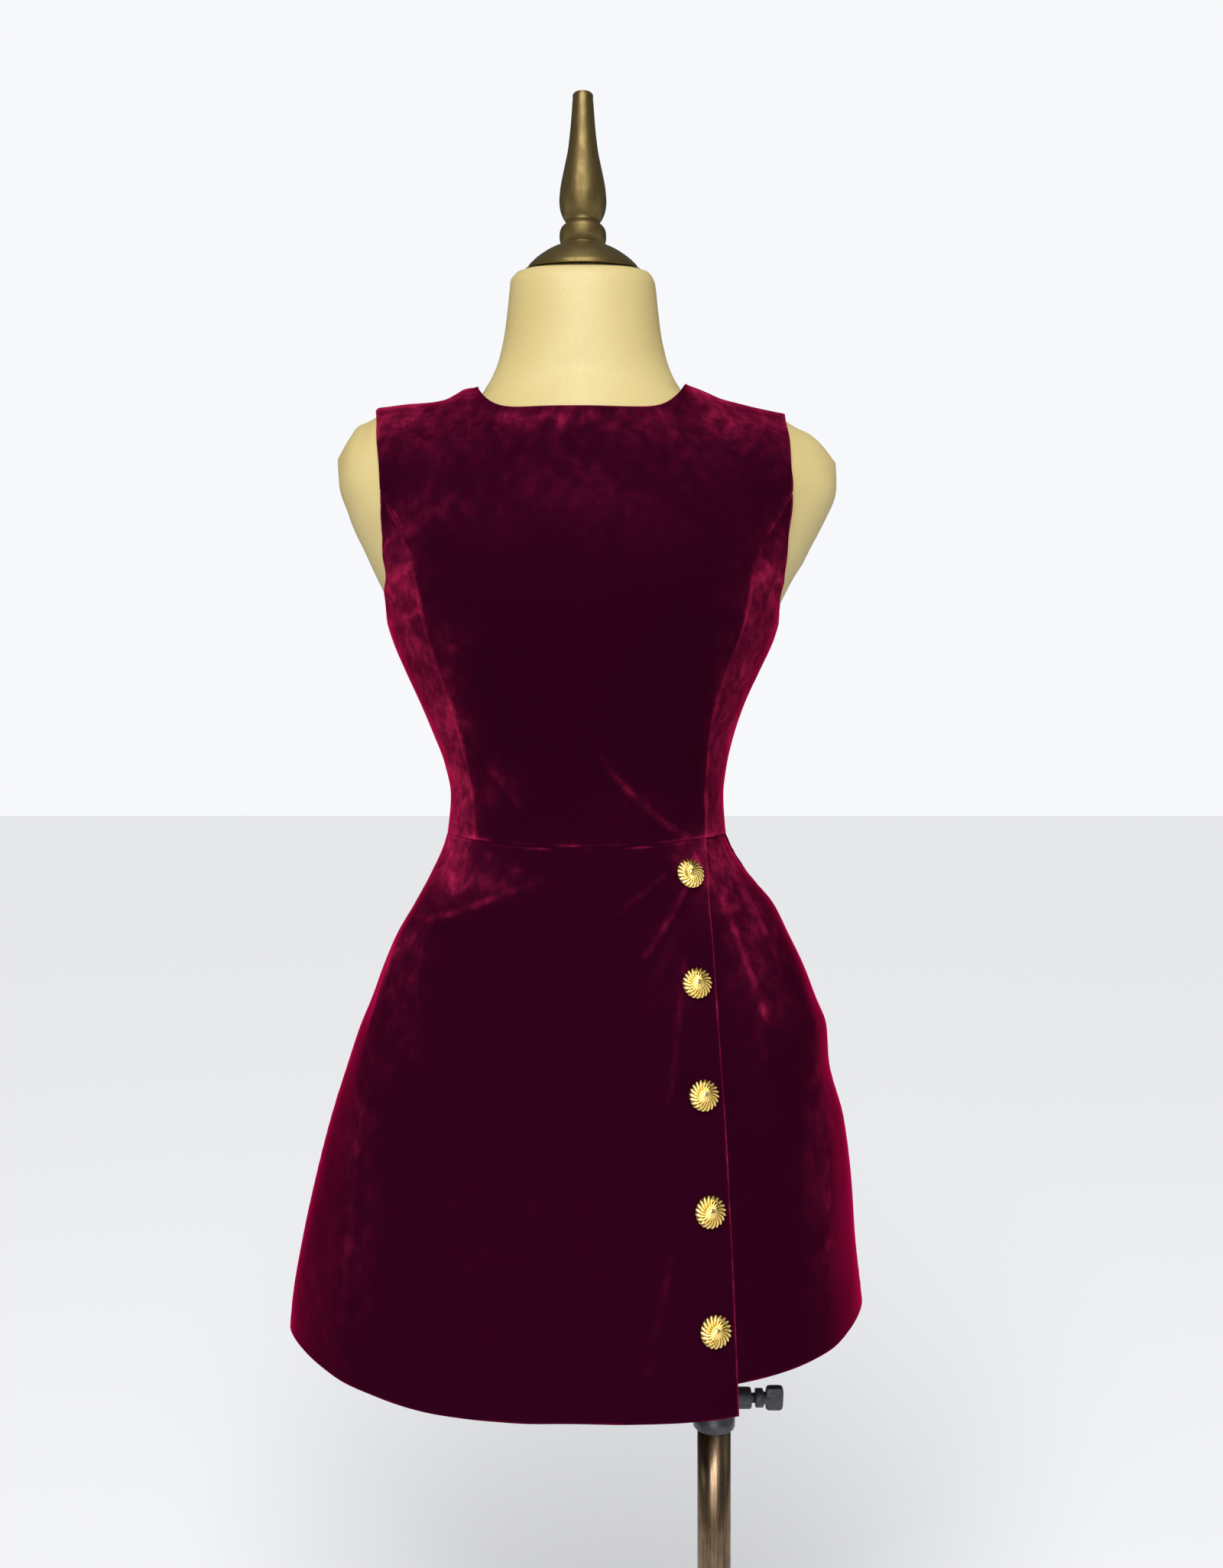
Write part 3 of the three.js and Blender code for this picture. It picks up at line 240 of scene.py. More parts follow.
BACK_FOLDS = table(FOLD_COLUMNS, [
    (-26, 1070, -52, 1046, -84, 1030, 1.6, 6, -0.5), (40, 1078, 62, 1054, 92, 1036, 1.3, 5, 0.5),
    (-150, 1240, -132, 1222, -118, 1200, 1.5, 8, 0.4), (150, 1236, 132, 1218, 116, 1198, 1.4, 8, -0.4),
    (-152, 1266, -142, 1252, -122, 1246, 1.2, 6, 0.4), (-88, 1376, -84, 1350, -80, 1322, 0.8, 5, 0.4),
    (80, 1374, 78, 1348, 74, 1326, 0.8, 5, -0.4), (-60, 1018, -80, 984, -98, 938, 2.2, 11, 0.5),
    (58, 1018, 76, 986, 93, 942, 2.0, 11, -0.5), (-110, 1002, -92, 984, -64, 976, 1.4, 6, 0.4),
    (112, 1000, 98, 984, 78, 972, 1.2, 6, -0.4), (-150, 620, -132, 760, -104, 900, 4.6, 28, 0.2),
    (142, 640, 128, 770, 100, 890, 4.2, 26, -0.2), (-44, 620, -42, 720, -36, 820, -3.6, 32, 0),
    (52, 625, 48, 715, 40, 800, -3.2, 30, 0), (4, 1010, 3, 980, 5, 950, 0.9, 5, 0.4),
])

# Crimson patches seen from the front or back, partly pile brushed up and partly painted sheen and light where
# the sides, shoulders and waist turn to the light: the middle of a soft patch, its half-sizes, how strong it
# is and how broken up.
NAP_AND_SHEEN_COLUMNS = "x z reach_x reach_z strength broken"
FRONT_NAP_AND_SHEEN = table(NAP_AND_SHEEN_COLUMNS, [
    (-12, 1356, 34, 12, 0.4, 0.9), (-52, 1357, 22, 10, 0.2, 0.8), (50, 1355, 30, 12, 0.18, 0.8),
    (-96, 1385, 16, 14, 0.3, 0.7), (100, 1386, 16, 14, 0.28, 0.7), (-130, 1362, 52, 34, 0.36, 0.5),
    (130, 1358, 52, 30, 0.34, 0.5), (-165, 1352, 12, 30, 0.16, 0.5), (163, 1345, 12, 40, 0.2, 0.5),
    (0, 1322, 130, 56, 0.13, 0.5), (0, 1272, 100, 34, 0.05, 0.5), (-116, 1280, 34, 14, 0.24, 0.7),
    (-138, 1262, 14, 20, 0.2, 0.5), (-148, 1214, 20, 44, 0.36, 0.4), (152, 1222, 20, 50, 0.36, 0.4),
    (-112, 1110, 24, 80, 0.42, 0.4), (118, 1110, 18, 80, 0.36, 0.4), (-104, 1046, 16, 30, 0.24, 0.4),
    (-66, 1068, 24, 20, 0.15, 0.7), (52, 1050, 30, 14, 0.12, 0.7), (-104, 1004, 30, 26, 0.34, 0.5),
    (-64, 992, 46, 12, 0.16, 0.6), (92, 1012, 18, 16, 0.34, 0.6), (112, 996, 24, 26, 0.36, 0.5),
    (140, 930, 30, 70, 0.22, 0.5), (-140, 930, 22, 70, 0.26, 0.5), (-176, 780, 22, 140, 0.16, 0.5),
    (190, 780, 20, 120, 0.2, 0.4), (-214, 660, 22, 50, 0.14, 0.6), (75, 930, 24, 50, 0.1, 0.7),
    (-60, 720, 90, 90, 0.04, 0.8),
])
BACK_NAP_AND_SHEEN = table(NAP_AND_SHEEN_COLUMNS, [
    (0, 1366, 60, 12, 0.3, 0.9), (-122, 1338, 44, 44, 0.26, 0.6), (124, 1336, 44, 44, 0.26, 0.6),
    (0, 1300, 150, 60, 0.1, 0.6), (-146, 1216, 20, 46, 0.34, 0.4), (150, 1222, 20, 48, 0.34, 0.4),
    (-100, 1100, 24, 70, 0.28, 0.4), (106, 1100, 24, 70, 0.28, 0.4), (-40, 1060, 40, 16, 0.14, 0.7),
    (70, 1050, 34, 16, 0.16, 0.7), (-80, 1000, 44, 24, 0.22, 0.6), (84, 1000, 44, 24, 0.22, 0.6),
    (-190, 760, 34, 150, 0.34, 0.5), (190, 770, 34, 150, 0.34, 0.5), (-128, 740, 16, 130, 0.16, 0.5),
    (124, 760, 16, 130, 0.16, 0.5),
])


def look_up(rows, name, height, key="z"):
    """Cubic through a table's column: each slope is the harmonic mean of its neighbours', 0 at a turn."""
    places, values = rows[key], rows[name]
    height = np.clip(np.asarray(height, float), places[0], places[-1])
    slopes = np.diff(values) / np.diff(places)
    before = slopes[:-1]
    after = slopes[1:]
    same_way = before * after > 0
    total = np.where(same_way, before + after, 1.0)
    inner = np.where(same_way, 2 * before * after / total, 0.0)
    tangents = np.concatenate([slopes[:1], inner, slopes[-1:]])
    k = np.clip(np.searchsorted(places, height, side="left") - 1, 0, len(places) - 2)
    span = places[k + 1] - places[k]
    t = (height - places[k]) / span
    return ((2 * t**3 - 3 * t**2 + 1) * values[k] + (t**3 - 2 * t**2 + t) * span * tangents[k]
            + (3 * t**2 - 2 * t**3) * values[k + 1] + (t**3 - t**2) * span * tangents[k + 1])


def mix(a, b, t):
    return a + (b - a) * t


def smooth_step(low, high, value):
    """0 up to low, 1 from high on, and 3t^2 - 2t^3 between."""
    t = np.clip((value - low) / (high - low), 0.0, 1.0)
    return t * t * (3 - 2 * t)


def by_side(rows, x, height, names=("left", "right"), key="z"):
    """One column to the left of the centre and the other to the right."""
    left, right = (look_up(rows, name, height, key) for name in names)
    return np.where(x < 0, left, right)


def shoulder_height(x):
    """The shoulder ridge: the table outside the neck point, and a straight rise to the middle inside it."""
    away = np.abs(x)
    line = by_side(SHOULDER_LINE, x, away, key="x")
    return np.where(away < NECK_HALF_WIDTH, mix(RIDGE_CENTRE_Z, line, away / NECK_HALF_WIDTH), line)


def shoulder_edge_height(across):
    """The height of a centre panel's outer corner at the shoulder, blended between its two sides."""
    left, right = shoulder_height(np.array([-SHOULDER_X, SHOULDER_X]))
    return mix(left, right, (across + 1) / 2)


def ridge_rounding(x, z, ridge_z):
    """A quarter circle from 0 on the ridge to 1 at its reach below it."""
    reach = mix(ROUNDING_BY_NECK, ROUNDING_BY_ARM, smooth_step(NECK_HALF_WIDTH, SHOULDER_X, np.abs(x)))
    q = np.clip((ridge_z - z) / reach, 0.0, 1.0)
    return np.sqrt(1 - (1 - q) ** 2)


def dress_half(x, z):
    return by_side(DRESS_SECTIONS, x, z)


def dress_depth(x, z, side):
    """Full depth times (1 - across^square)^round, rounded in over the shoulder."""
    across = np.minimum(np.abs(x) / dress_half(x, z), 1.0)
    square = by_side(DRESS_CURVES, x, z, ("square_left", "square_right"))
    round_off = look_up(DRESS_CURVES, "round", z)
    depth = look_up(DRESS_SECTIONS, "front" if side < 0 else "back", z)
    share = np.maximum(1 - across**square, 0.0) ** round_off
    return depth * share * ridge_rounding(x, z, shoulder_height(x))


def x_at_angle(angle, z):
    """Half-width times the sine to a power: 0 at the centre, the side seam at a right angle."""
    return np.sign(angle) * dress_half(angle, z) * np.abs(np.sin(angle)) ** ANGLE_POWER


def angle_at_x(x, z):
    share = np.minimum(np.abs(x) / dress_half(x, z), 1.0)
    return np.sign(x) * np.arcsin(share ** (1 / ANGLE_POWER))


def waist_height(x, side):
    """The waist seam: a parabola that dips at the centre front, and less at the back."""
    dip = WAIST_DIP if side < 0 else WAIST_DIP * BACK_DIP_SHARE
    across = np.minimum(np.abs(x) / dress_half(x, np.full_like(x, WAIST_SIDE_Z)), 1.0)
    return WAIST_SIDE_Z - dip * (1 - across**2)


def back_hem_height(x):
    return mix(HEM_Z, UNDERLAP_HEM_Z, smooth_step(-120, 120, x))


def neckline_height(x, side):
    """From the centre's height to the neck point's, as a high power of the distance from the centre."""
    centre, power = (NECK_FRONT_Z, NECK_FRONT_POWER) if side < 0 else (NECK_BACK_Z, NECK_BACK_POWER)
    neck_point = shoulder_height(np.where(x < 0, -NECK_HALF_WIDTH, NECK_HALF_WIDTH)) - 0.4
    return mix(centre, neck_point, np.minimum(np.abs(x) / NECK_HALF_WIDTH, 1.0) ** power)


def flap_edge_x(z):
    return look_up(FLAP_EDGE, "x", z)


def fold_lift(folds, x, z):
    """Bell curves across bent lines, dropped on one side by the lean and fading past the ends."""
    lift = np.zeros_like(x)
    steps = np.linspace(0, 1, FOLD_STEPS)
    for x0, z0, x1, z1, x2, z2, height, width, lean in zip(*folds.values()):
        line_x = (1 - steps) ** 2 * x0 + 2 * steps * (1 - steps) * x1 + steps**2 * x2
        line_z = (1 - steps) ** 2 * z0 + 2 * steps * (1 - steps) * z1 + steps**2 * z2
        best = np.full_like(x, 1e9)
        away = np.zeros_like(x)
        past = np.zeros_like(x)
        place = np.zeros_like(x)
        for k in range(FOLD_STEPS - 1):
            dx = line_x[k + 1] - line_x[k]
            dz = line_z[k + 1] - line_z[k]
            length = math.hypot(dx, dz)
            along = ((x - line_x[k]) * dx + (z - line_z[k]) * dz) / length
            beside = ((x - line_x[k]) * dz - (z - line_z[k]) * dx) / length
            outside = np.maximum(np.maximum(-along, along - length), 0)
            distance = np.hypot(beside, outside)
            nearer = distance < best
            best = np.where(nearer, distance, best)
            away = np.where(nearer, beside, away)
            past = np.where(nearer, outside, past)
            place = np.where(nearer, (k + np.clip(along / length, 0, 1)) / (FOLD_STEPS - 1), place)
        swell = 0.55 + 0.45 * np.sin(np.pi * (0.12 + 0.76 * place))
        fade = swell * np.exp(-((past / (1.6 * width)) ** 2))
        bell = np.exp(-((away / width) ** 2))
        drop = abs(lean) * np.exp(-(((away - math.copysign(1.7, lean) * width) / (1.2 * width)) ** 2))
        lift += height * fade * (bell - (drop if lean else 0))
    return lift


def painted_fold_highlight(folds, x, z):
    """A painted highlight along the crest of each ridge: the same lines, a third as wide, faint where a fold
    is wide, and broken up by crossing waves."""
    ridge = folds["height"] > 0
    thin = {name: values[ridge] for name, values in folds.items()}
    thin["height"] = np.minimum(thin["height"], 2.4) * 0.14 * np.minimum(6.0 / thin["width"], 1.0) ** 1.6
    thin["width"] = np.clip(thin["width"] * 0.34, 2.5, 3.4)
    thin["lean"] = np.zeros_like(thin["lean"])
    ripple = np.sin(x / 6.3 + 1.4 * np.sin(z / 9.1)) * np.sin(z / 7.7 + 1.1 * np.sin(x / 8.7))
    return fold_lift(thin, x, z) * (0.75 + 0.55 * ripple)


def nap_and_sheen_patches(patches, x, z, seed):
    """Bell-shaped patches of brushed nap and painted sheen, each broken up by crossing waves."""
    draw = np.random.default_rng(seed)
    total = np.zeros_like(x)
    for middle_x, middle_z, reach_x, reach_z, strength, broken in zip(*patches.values()):
        phases = draw.uniform(0, 2 * np.pi, 4)
        ripple = (np.sin(x / 3.1 + 1.3 * np.sin(z / 5.3 + phases[0]) + phases[1])
                  + np.sin(z / 4.3 + 1.7 * np.sin(x / 4.9 + phases[2]) + phases[3])) / 2
        bell = np.exp(-(((x - middle_x) / reach_x) ** 2) - ((z - middle_z) / reach_z) ** 2)
        total += strength * bell * (1 - broken * 0.5 * (1 - ripple))
    return total


def brushed_nap_and_painted_light(x, z, side):
    """How far the pile is brushed up, with painted sheen and highlights added, from 0, flat and dark, to
    about 1.
    """
    if side < 0:
        return nap_and_sheen_patches(FRONT_NAP_AND_SHEEN, x, z, 5) + painted_fold_highlight(FRONT_FOLDS, x, z)
    return nap_and_sheen_patches(BACK_NAP_AND_SHEEN, x, z, 6) + painted_fold_highlight(BACK_FOLDS, x, z)


def unevenness(x, z, seed, size):
    """A sum of plane waves of unlike lengths and directions, so that no stretch repeats."""
    draw = np.random.default_rng(seed)
    total = np.zeros_like(x)
    for length in (96, 71, 53, 38, 27):
        turn = draw.uniform(-0.75, 0.75)
        phase = draw.uniform(0, 2 * np.pi)
        wave = 2 * np.pi / length * (x * np.cos(turn) + 0.55 * z * np.sin(turn)) + phase
        total += np.sin(wave + 0.8 * np.sin(z / 47.0 + phase)) * (length / 96) ** 1.2
    return size * total / 2.2


def seam_pucker(distance, along, seed, size):
    """Small waves along a seam that die away from it, their lengths drifting between 9 and 14 mm."""
    draw = np.random.default_rng(seed)
    a, b, c = draw.uniform(0, 2 * np.pi, 3)
    drift = along + 5.0 * np.sin(along / 23.0 + a) + 2.5 * np.sin(along / 9.5 + b)
    strength = 0.55 + 0.45 * np.sin(along / 37.0 + c)
    return size * strength * np.sin(2 * np.pi * drift / 11.5) * np.exp(-distance / 7.0)


def edge_round(distance, radius):
    """How far a rounded edge falls away: a quarter circle of the radius, 0 beyond it."""
    near = np.clip(1 - distance / radius, 0.0, 1.0)
    return radius * (1 - np.sqrt(np.maximum(1 - near**2, 0.0)))


def grid_normals(points):
    """Cross product of the grid's two directions at each point, of length 1."""
    down = np.gradient(points, axis=0)
    over = np.gradient(points, axis=1)
    normals = np.cross(over, down)
    return normals / np.maximum(np.linalg.norm(normals, axis=2, keepdims=True), 1e-9)


def arc_lengths(points, axis):
    """The distance from the grid's first row or column, measured along the surface."""
    steps = np.linalg.norm(np.diff(points, axis=axis), axis=2)
    zeros = np.zeros_like(np.take(steps, [0], axis=axis))
    return np.concatenate([zeros, np.cumsum(steps, axis=axis)], axis=axis)


def spaced(length, step):
    """Shares from 0 to 1 with even steps in the middle and short ones by both edges."""
    first, inset = EDGE_STEPS[:-1], EDGE_STEPS[-1]
    inner = np.linspace(inset, length - inset, max(int(length / step), 4))
    return np.concatenate([first, inner, (length - first)[::-1]]) / length


def put_mesh(name, points, faces):
    """A mesh object in metres from points in millimetres and lists of corners."""
    mesh = bpy.data.meshes.new(name)
    mesh.from_pydata((np.asarray(points) * MM).tolist(), [], faces)
    mesh.validate()
    mesh.polygons.foreach_set("use_smooth", np.ones(len(mesh.polygons), bool))
    mesh.update()
    piece = bpy.data.objects.new(name, mesh)
    bpy.context.scene.collection.objects.link(piece)
    return piece


def grid_faces(rows, columns, first=0, turned=False, wrap=False):
    """Four-cornered faces over a grid of rows by columns points, wrapped round to the first column or not."""
    i, j = np.meshgrid(np.arange(rows - 1), np.arange(columns if wrap else columns - 1), indexing="ij")
    next_j = (j + 1) % columns
    faces = np.stack([i * columns + j, i * columns + next_j, (i + 1) * columns + next_j,
                      (i + 1) * columns + j], axis=-1).reshape(-1, 4) + first
    return faces[:, ::-1] if turned else faces


def enclosed_volume(faces, points):
    """Six times the volume inside four-cornered faces: the triple products of each face's two halves."""
    corners = points[faces]
    halves = (np.cross(corners[:, k], corners[:, k + 1]) for k in (1, 2))
    return sum(np.einsum("ij,ij->i", corners[:, 0], half).sum() for half in halves)


def face_outwards(faces, points):
    """Turns all faces over where the volume inside them comes out negative."""
    return faces if enclosed_volume(faces, points) > 0 else faces[:, ::-1]


def put_attribute(piece, name, values):
    """One number for each vertex, read by the materials; vertices past the given ones get 0."""
    layer = piece.data.attributes.new(name, "FLOAT", "POINT")
    full = np.zeros(len(piece.data.vertices), np.float32)
    full[:values.size] = values.reshape(-1)
    layer.data.foreach_set("value", full)


def finished(piece, node, body, slot):
    """Says which node of the CAD a piece replaces, what it rides on and which material it has."""
    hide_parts(node)
    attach(piece, body)
    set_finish(piece, slot)


# A panel's bottom, left, right and top edge: each a seam, a free edge or the lap's edge.
BODICE_EDGES = ("seam", "seam", "seam", "free")


def cloth_shell(node, base, lift, nap_and_painted_light, kinds, seed):
    """A closed shell over a grid: the outer face is the base moved out by the lift, and the inner face lies
    a cloth's thickness under it. Along a seam the outer face is drawn in and waves; a free edge is round.
    A thin broken painted highlight runs beside each edge."""
    normals = grid_normals(base)
    if np.sum(normals[..., :2] * base[..., :2]) < 0:
        normals = -normals
    rows = arc_lengths(base, 0)
    columns = arc_lengths(base, 1)
    distances = (rows, columns, columns[:, -1:] - columns, rows[-1:] - rows)
    alongs = (columns, rows, rows, columns)
    outer_cut = np.zeros(base.shape[:2])
    inner_cut = np.zeros(base.shape[:2])
    total = lift.copy()
    nap_and_painted_light = nap_and_painted_light.copy()
    for number, (kind, distance, along) in enumerate(zip(kinds, distances, alongs)):
        patchy = 0.55 + 0.45 * np.sin(along / 21.0 + number + seed) * np.sin(along / 8.3 + seed)
        if kind == "seam":
            outer_cut += edge_round(distance, 1.0) + 0.35 * np.exp(-distance / 3.0)
            total += seam_pucker(distance, along, seed * 10 + number, 0.22)
            # Painted highlight: a thin broken crimson line just beside the seam.
            nap_and_painted_light += 0.34 * patchy**2 * np.exp(-(((distance - 1.6) / 1.1) ** 2))
        else:
            outer_cut += edge_round(distance, CLOTH / 2)
            inner_cut += edge_round(distance, CLOTH / 2)
            strength = 0.75 if kind == "lap" else 0.35
            # Painted highlight along a free edge, stronger along the lap's edge.
            nap_and_painted_light += strength * mix(patchy, 1.0, 0.5) * np.exp(-((distance / 1.3) ** 2))
    outer = base + normals * (total - np.minimum(outer_cut, CLOTH * 0.85))[..., None]
    inner = base + normals * (total - CLOTH + inner_cut * 0.9)[..., None]
    r, c = base.shape[:2]
    count = r * c
    points = np.concatenate([outer.reshape(-1, 3), inner.reshape(-1, 3)])
    at = np.arange(count).reshape(r, c)
    walls = [np.stack([ring[1:], ring[:-1], ring[:-1] + count, ring[1:] + count], axis=-1)
             for ring in (at[0, :], at[:, -1], at[-1, ::-1], at[::-1, 0])]
    faces = np.concatenate([grid_faces(r, c), grid_faces(r, c, count, turned=True), *walls])
    piece = put_mesh(f"{node}_velvet", points, face_outwards(faces, points).tolist())
    # The outer face carries brushed nap with painted sheen, highlights and shade; the inner face a flat low
    # value.
    put_attribute(piece, "nap_and_painted_light", np.concatenate([nap_and_painted_light.reshape(-1), np.full(count, 0.15)]))
    finished(piece, node, "form", "velvet")


def base_points(x, z, side):
    """Points on the dress's plain outer form."""
    return np.stack([x, side * dress_depth(x, z, side), z], axis=-1)


def drape(x, z, side, skirt):
    """The cloth's own lift at a place: folds and a faint unevenness, calm towards the side seams."""
    folds = FRONT_FOLDS if side < 0 else BACK_FOLDS
    calm = 1 - smooth_step(0.9, 1.0, np.abs(x) / dress_half(x, z))
    amount = mix(0.25, 0.75, smooth_step(WAIST_SIDE_Z, HEM_Z + 150, z) if skirt else np.zeros_like(z))
    return calm * (fold_lift(folds, x, z) + unevenness(x, z, 11 if side < 0 else 23, 1.0) * amount)


def armhole_share(z):
    """0 along the princess seam, and 1 from its top on, where the edge is the armhole's."""
    return smooth_step(PRINCESS_TOP_Z - 5.0, PRINCESS_TOP_Z, z)


def painted_shoulder_light_and_shade(x, z, side):
    """Along the shoulder's top a painted dark strip of shade, wider on the right, and a painted light strip
    below it.
    """
    below = shoulder_height(x) - z
    # Painted shade: the width of the dark strip below the ridge.
    dark = np.where(x < 0, 2.4, mix(5.0, 3.0, smooth_step(130, 170, x))) if side < 0 else 0.5
    patchy = 0.7 + 0.3 * np.sin(x / 9.0 + 1.5 * np.sin(x / 17.0))
    # Painted light: a broken crimson strip below the dark one.
    light = 0.42 * patchy * np.exp(-(((below - dark - 3.5) / 3.6) ** 2))
    return light * smooth_step(dark, dark + 1.0, below) - 0.5 * smooth_step(dark + 0.6, dark, below)


def centre_panel(node, seam_table, side, across, level, seed, centre_lap=0.0):
    """A bodice panel: columns keep their share of the width from the waist to the neckline and shoulder,
    rows rise from the waist seam, closer by the shoulder's ridge where front and back meet, and the side
    edges follow the princess seam and the armhole."""
    across, level = np.meshgrid(across, level)
    share = np.abs(across)
    sign = np.where(across < 0, -1.0, 1.0)
    top_x = sign * np.where(share <= 0.5, NECK_HALF_WIDTH * np.sin(np.pi * np.minimum(share, 0.5)),
                            mix(NECK_HALF_WIDTH, SHOULDER_X, (share - 0.5) / 0.5))
    top_z = np.where(share <= 0.5, neckline_height(top_x, side), shoulder_height(top_x))
    foot = by_side(seam_table, across, np.full_like(across, WAIST_SIDE_Z))
    bottom = waist_height(across * np.abs(foot), side) - SEAM_LAP
    edge_bottom = waist_height(foot, side) - SEAM_LAP
    z = mix(bottom, top_z, level)
    fall = top_z - z
    z += smooth_step(0.47, 0.5, share) * RIDGE_ROWS * fall / (fall + RIDGE_ROWS) * np.exp(-fall / 40)
    edge_z = mix(edge_bottom, shoulder_edge_height(across), level)
    seam = by_side(seam_table, across, edge_z)
    armhole = by_side(ARMHOLE_EDGE, across, edge_z)
    edge = np.abs(mix(seam, armhole, armhole_share(edge_z)))
    spread = mix(share, np.abs(top_x) / SHOULDER_X, smooth_step(0.45, 1.0, level))
    seam_lap = np.where((share > 0.9999) & (edge_z < PRINCESS_TOP_Z), SEAM_LAP, 0.0)
    x = sign * (spread * edge + seam_lap) + np.where(share < 1e-6, centre_lap, 0.0)
    z = np.minimum(z, shoulder_height(x))
    # Brushed nap with painted sheen and highlights, and near the shoulders the painted shade and light
    # strips.
    nap_and_painted_light = brushed_nap_and_painted_light(x, z, side) + painted_shoulder_light_and_shade(x, z, side) * smooth_step(0.48, 0.54, share)
    base = base_points(x, z, side)
    base[-1, share[-1] >= 0.5, 1] = 0.0
    cloth_shell(node, base, drape(x, z, side, False), nap_and_painted_light, BODICE_EDGES, seed)


def side_panel(node, seam_table, side, direction, seed):
    """A side panel of the bodice, between the princess seam and the side seam or the armhole above it."""
    word = "left" if direction < 0 else "right"
    foot = float(look_up(seam_table, word, WAIST_SIDE_Z))
    across, level = np.meshgrid(spaced(75, BODICE_STEP), spaced(270, BODICE_STEP))
    foot_angle = float(angle_at_x(np.array(foot), np.array(WAIST_SIDE_Z)))
    bottom_x = x_at_angle(mix(foot_angle, direction * np.pi / 2, across), np.full_like(across, WAIST_SIDE_Z))
    z = mix(waist_height(bottom_x, side) - SEAM_LAP, PRINCESS_TOP_Z, level)
    armhole_x = look_up(ARMHOLE_EDGE, word, z)
    seam_x = mix(look_up(seam_table, word, z), armhole_x, armhole_share(z))
    start = np.abs(angle_at_x(seam_x - direction * SEAM_LAP, z))
    armhole = np.abs(angle_at_x(armhole_x, z))
    end = mix(np.pi / 2, armhole, smooth_step(UNDERARM_Z - 1.5, UNDERARM_Z + 5.0, z))
    x = x_at_angle(direction * mix(start, np.maximum(end, start + 0.001), across), z)
    ripple = np.sin(x / 8.0 + 2.0 * np.sin(z / 19.0)) * np.sin(z / 13.0)
    # Painted sheen: crimson over the lower side panel, a little rippled, fading out above it.
    nap_and_painted_light = brushed_nap_and_painted_light(x, z, side) + (0.17 + 0.05 * ripple) * smooth_step(1270, 1215, z)
    cloth_shell(node, base_points(x, z, side), drape(x, z, side, False), nap_and_painted_light, BODICE_EDGES, seed)


def skirt_panel(node, side, left_angle, right_angle, hem, size, kinds, seed, bare_at=np.ones_like):
    """A skirt panel between two edges given as angles by height. Where it isn't bare it lies under
    another."""
    across, level = np.meshgrid(spaced(size[0], SKIRT_STEP), spaced(size[1], SKIRT_STEP))
    waist = np.full_like(across, WAIST_SIDE_Z)
    low = np.full_like(across, HEM_Z)
    top_x = x_at_angle(mix(left_angle(waist), right_angle(waist), across), waist)
    foot_x = x_at_angle(mix(left_angle(low), right_angle(low), across), low)
    z = mix(hem(foot_x), waist_height(top_x, side) + SEAM_LAP, level)
    x = x_at_angle(mix(left_angle(z), right_angle(z), across), z)
    bare = bare_at(x - flap_edge_x(z))
    lift = drape(x, z, side, True) * bare - (CLOTH + LAP_GAP) * (1 - bare)
    cloth_shell(node, base_points(x, z, side), lift, brushed_nap_and_painted_light(x, z, side), kinds, seed)


def make_bodice():
    whole = spaced(330, BODICE_STEP) * 2 - 1
    half = spaced(165, BODICE_STEP)
    level = spaced(345, BODICE_STEP)
    centre_panel("bodice_front", FRONT_PRINCESS, -1, whole, level, 1)
    centre_panel("back_left", BACK_PRINCESS, 1, half - 1, level, 2, SEAM_LAP)
    centre_panel("back_right", BACK_PRINCESS, 1, half, level, 3, -SEAM_LAP)
    side_panel("side_front_left", FRONT_PRINCESS, -1, -1, 4)
    side_panel("side_front_right", FRONT_PRINCESS, -1, 1, 5)
    side_panel("side_back_left", BACK_PRINCESS, 1, -1, 6)
    side_panel("side_back_right", BACK_PRINCESS, 1, 1, 7)


def make_skirt():
    """The lapped front, the underlap, bare from a little past the lap's edge, and the two backs."""
    def left_seam(z):
        return np.full_like(z, -np.pi / 2)

    def right_seam(z):
        return np.full_like(z, np.pi / 2)

    def lap_edge(z):
        return angle_at_x(flap_edge_x(z), z)

    def underlap_edge(z):
        return angle_at_x(flap_edge_x(z) - LAP_WIDTH, z)

    def centre_seam(z):
        return angle_at_x(np.full_like(z, -SEAM_LAP), z)

    skirt_panel("skirt_front", -1, left_seam, lap_edge, lambda x: np.full_like(x, HEM_Z),
                (410, 405), ("free", "seam", "lap", "seam"), 11)
    skirt_panel("skirt_underlap", -1, underlap_edge, right_seam, lambda x: np.full_like(x, UNDERLAP_HEM_Z),
                (235, 385), ("free", "free", "seam", "seam"), 12, lambda past: smooth_step(8, 60, past))
    back_edges = ("free", "seam", "seam", "seam")
    skirt_panel("skirt_back_left", 1, left_seam, lambda z: -centre_seam(z), back_hem_height,
                (300, 395), back_edges, 13)
    skirt_panel("skirt_back_right", 1, centre_seam, right_seam, back_hem_height, (300, 390), back_edges, 14)


def frame_at(x, z, side):
    """A place on the draped outer face and the direction straight out of it, by small steps across it."""
    step = 0.6
    xs = np.array([x, x + step, x - step, x, x])
    zs = np.array([z, z, z, z + step, z - step])
    points = base_points(xs, zs, side)
    out = np.cross(points[1] - points[2], points[3] - points[4])
    out = out / np.linalg.norm(out) * (1 if out[1] * side > 0 else -1)
    return points[0] + out * float(drape(xs, zs, side, True)[0]), out


def turn_to(out):
    """Three axes with the last one along the given direction and the second as upright as it can be."""
    up = np.array([0.0, 0.0, 1.0]) - out * out[2]
    up = up / np.linalg.norm(up)
    return np.stack([np.cross(up, out), up, out])


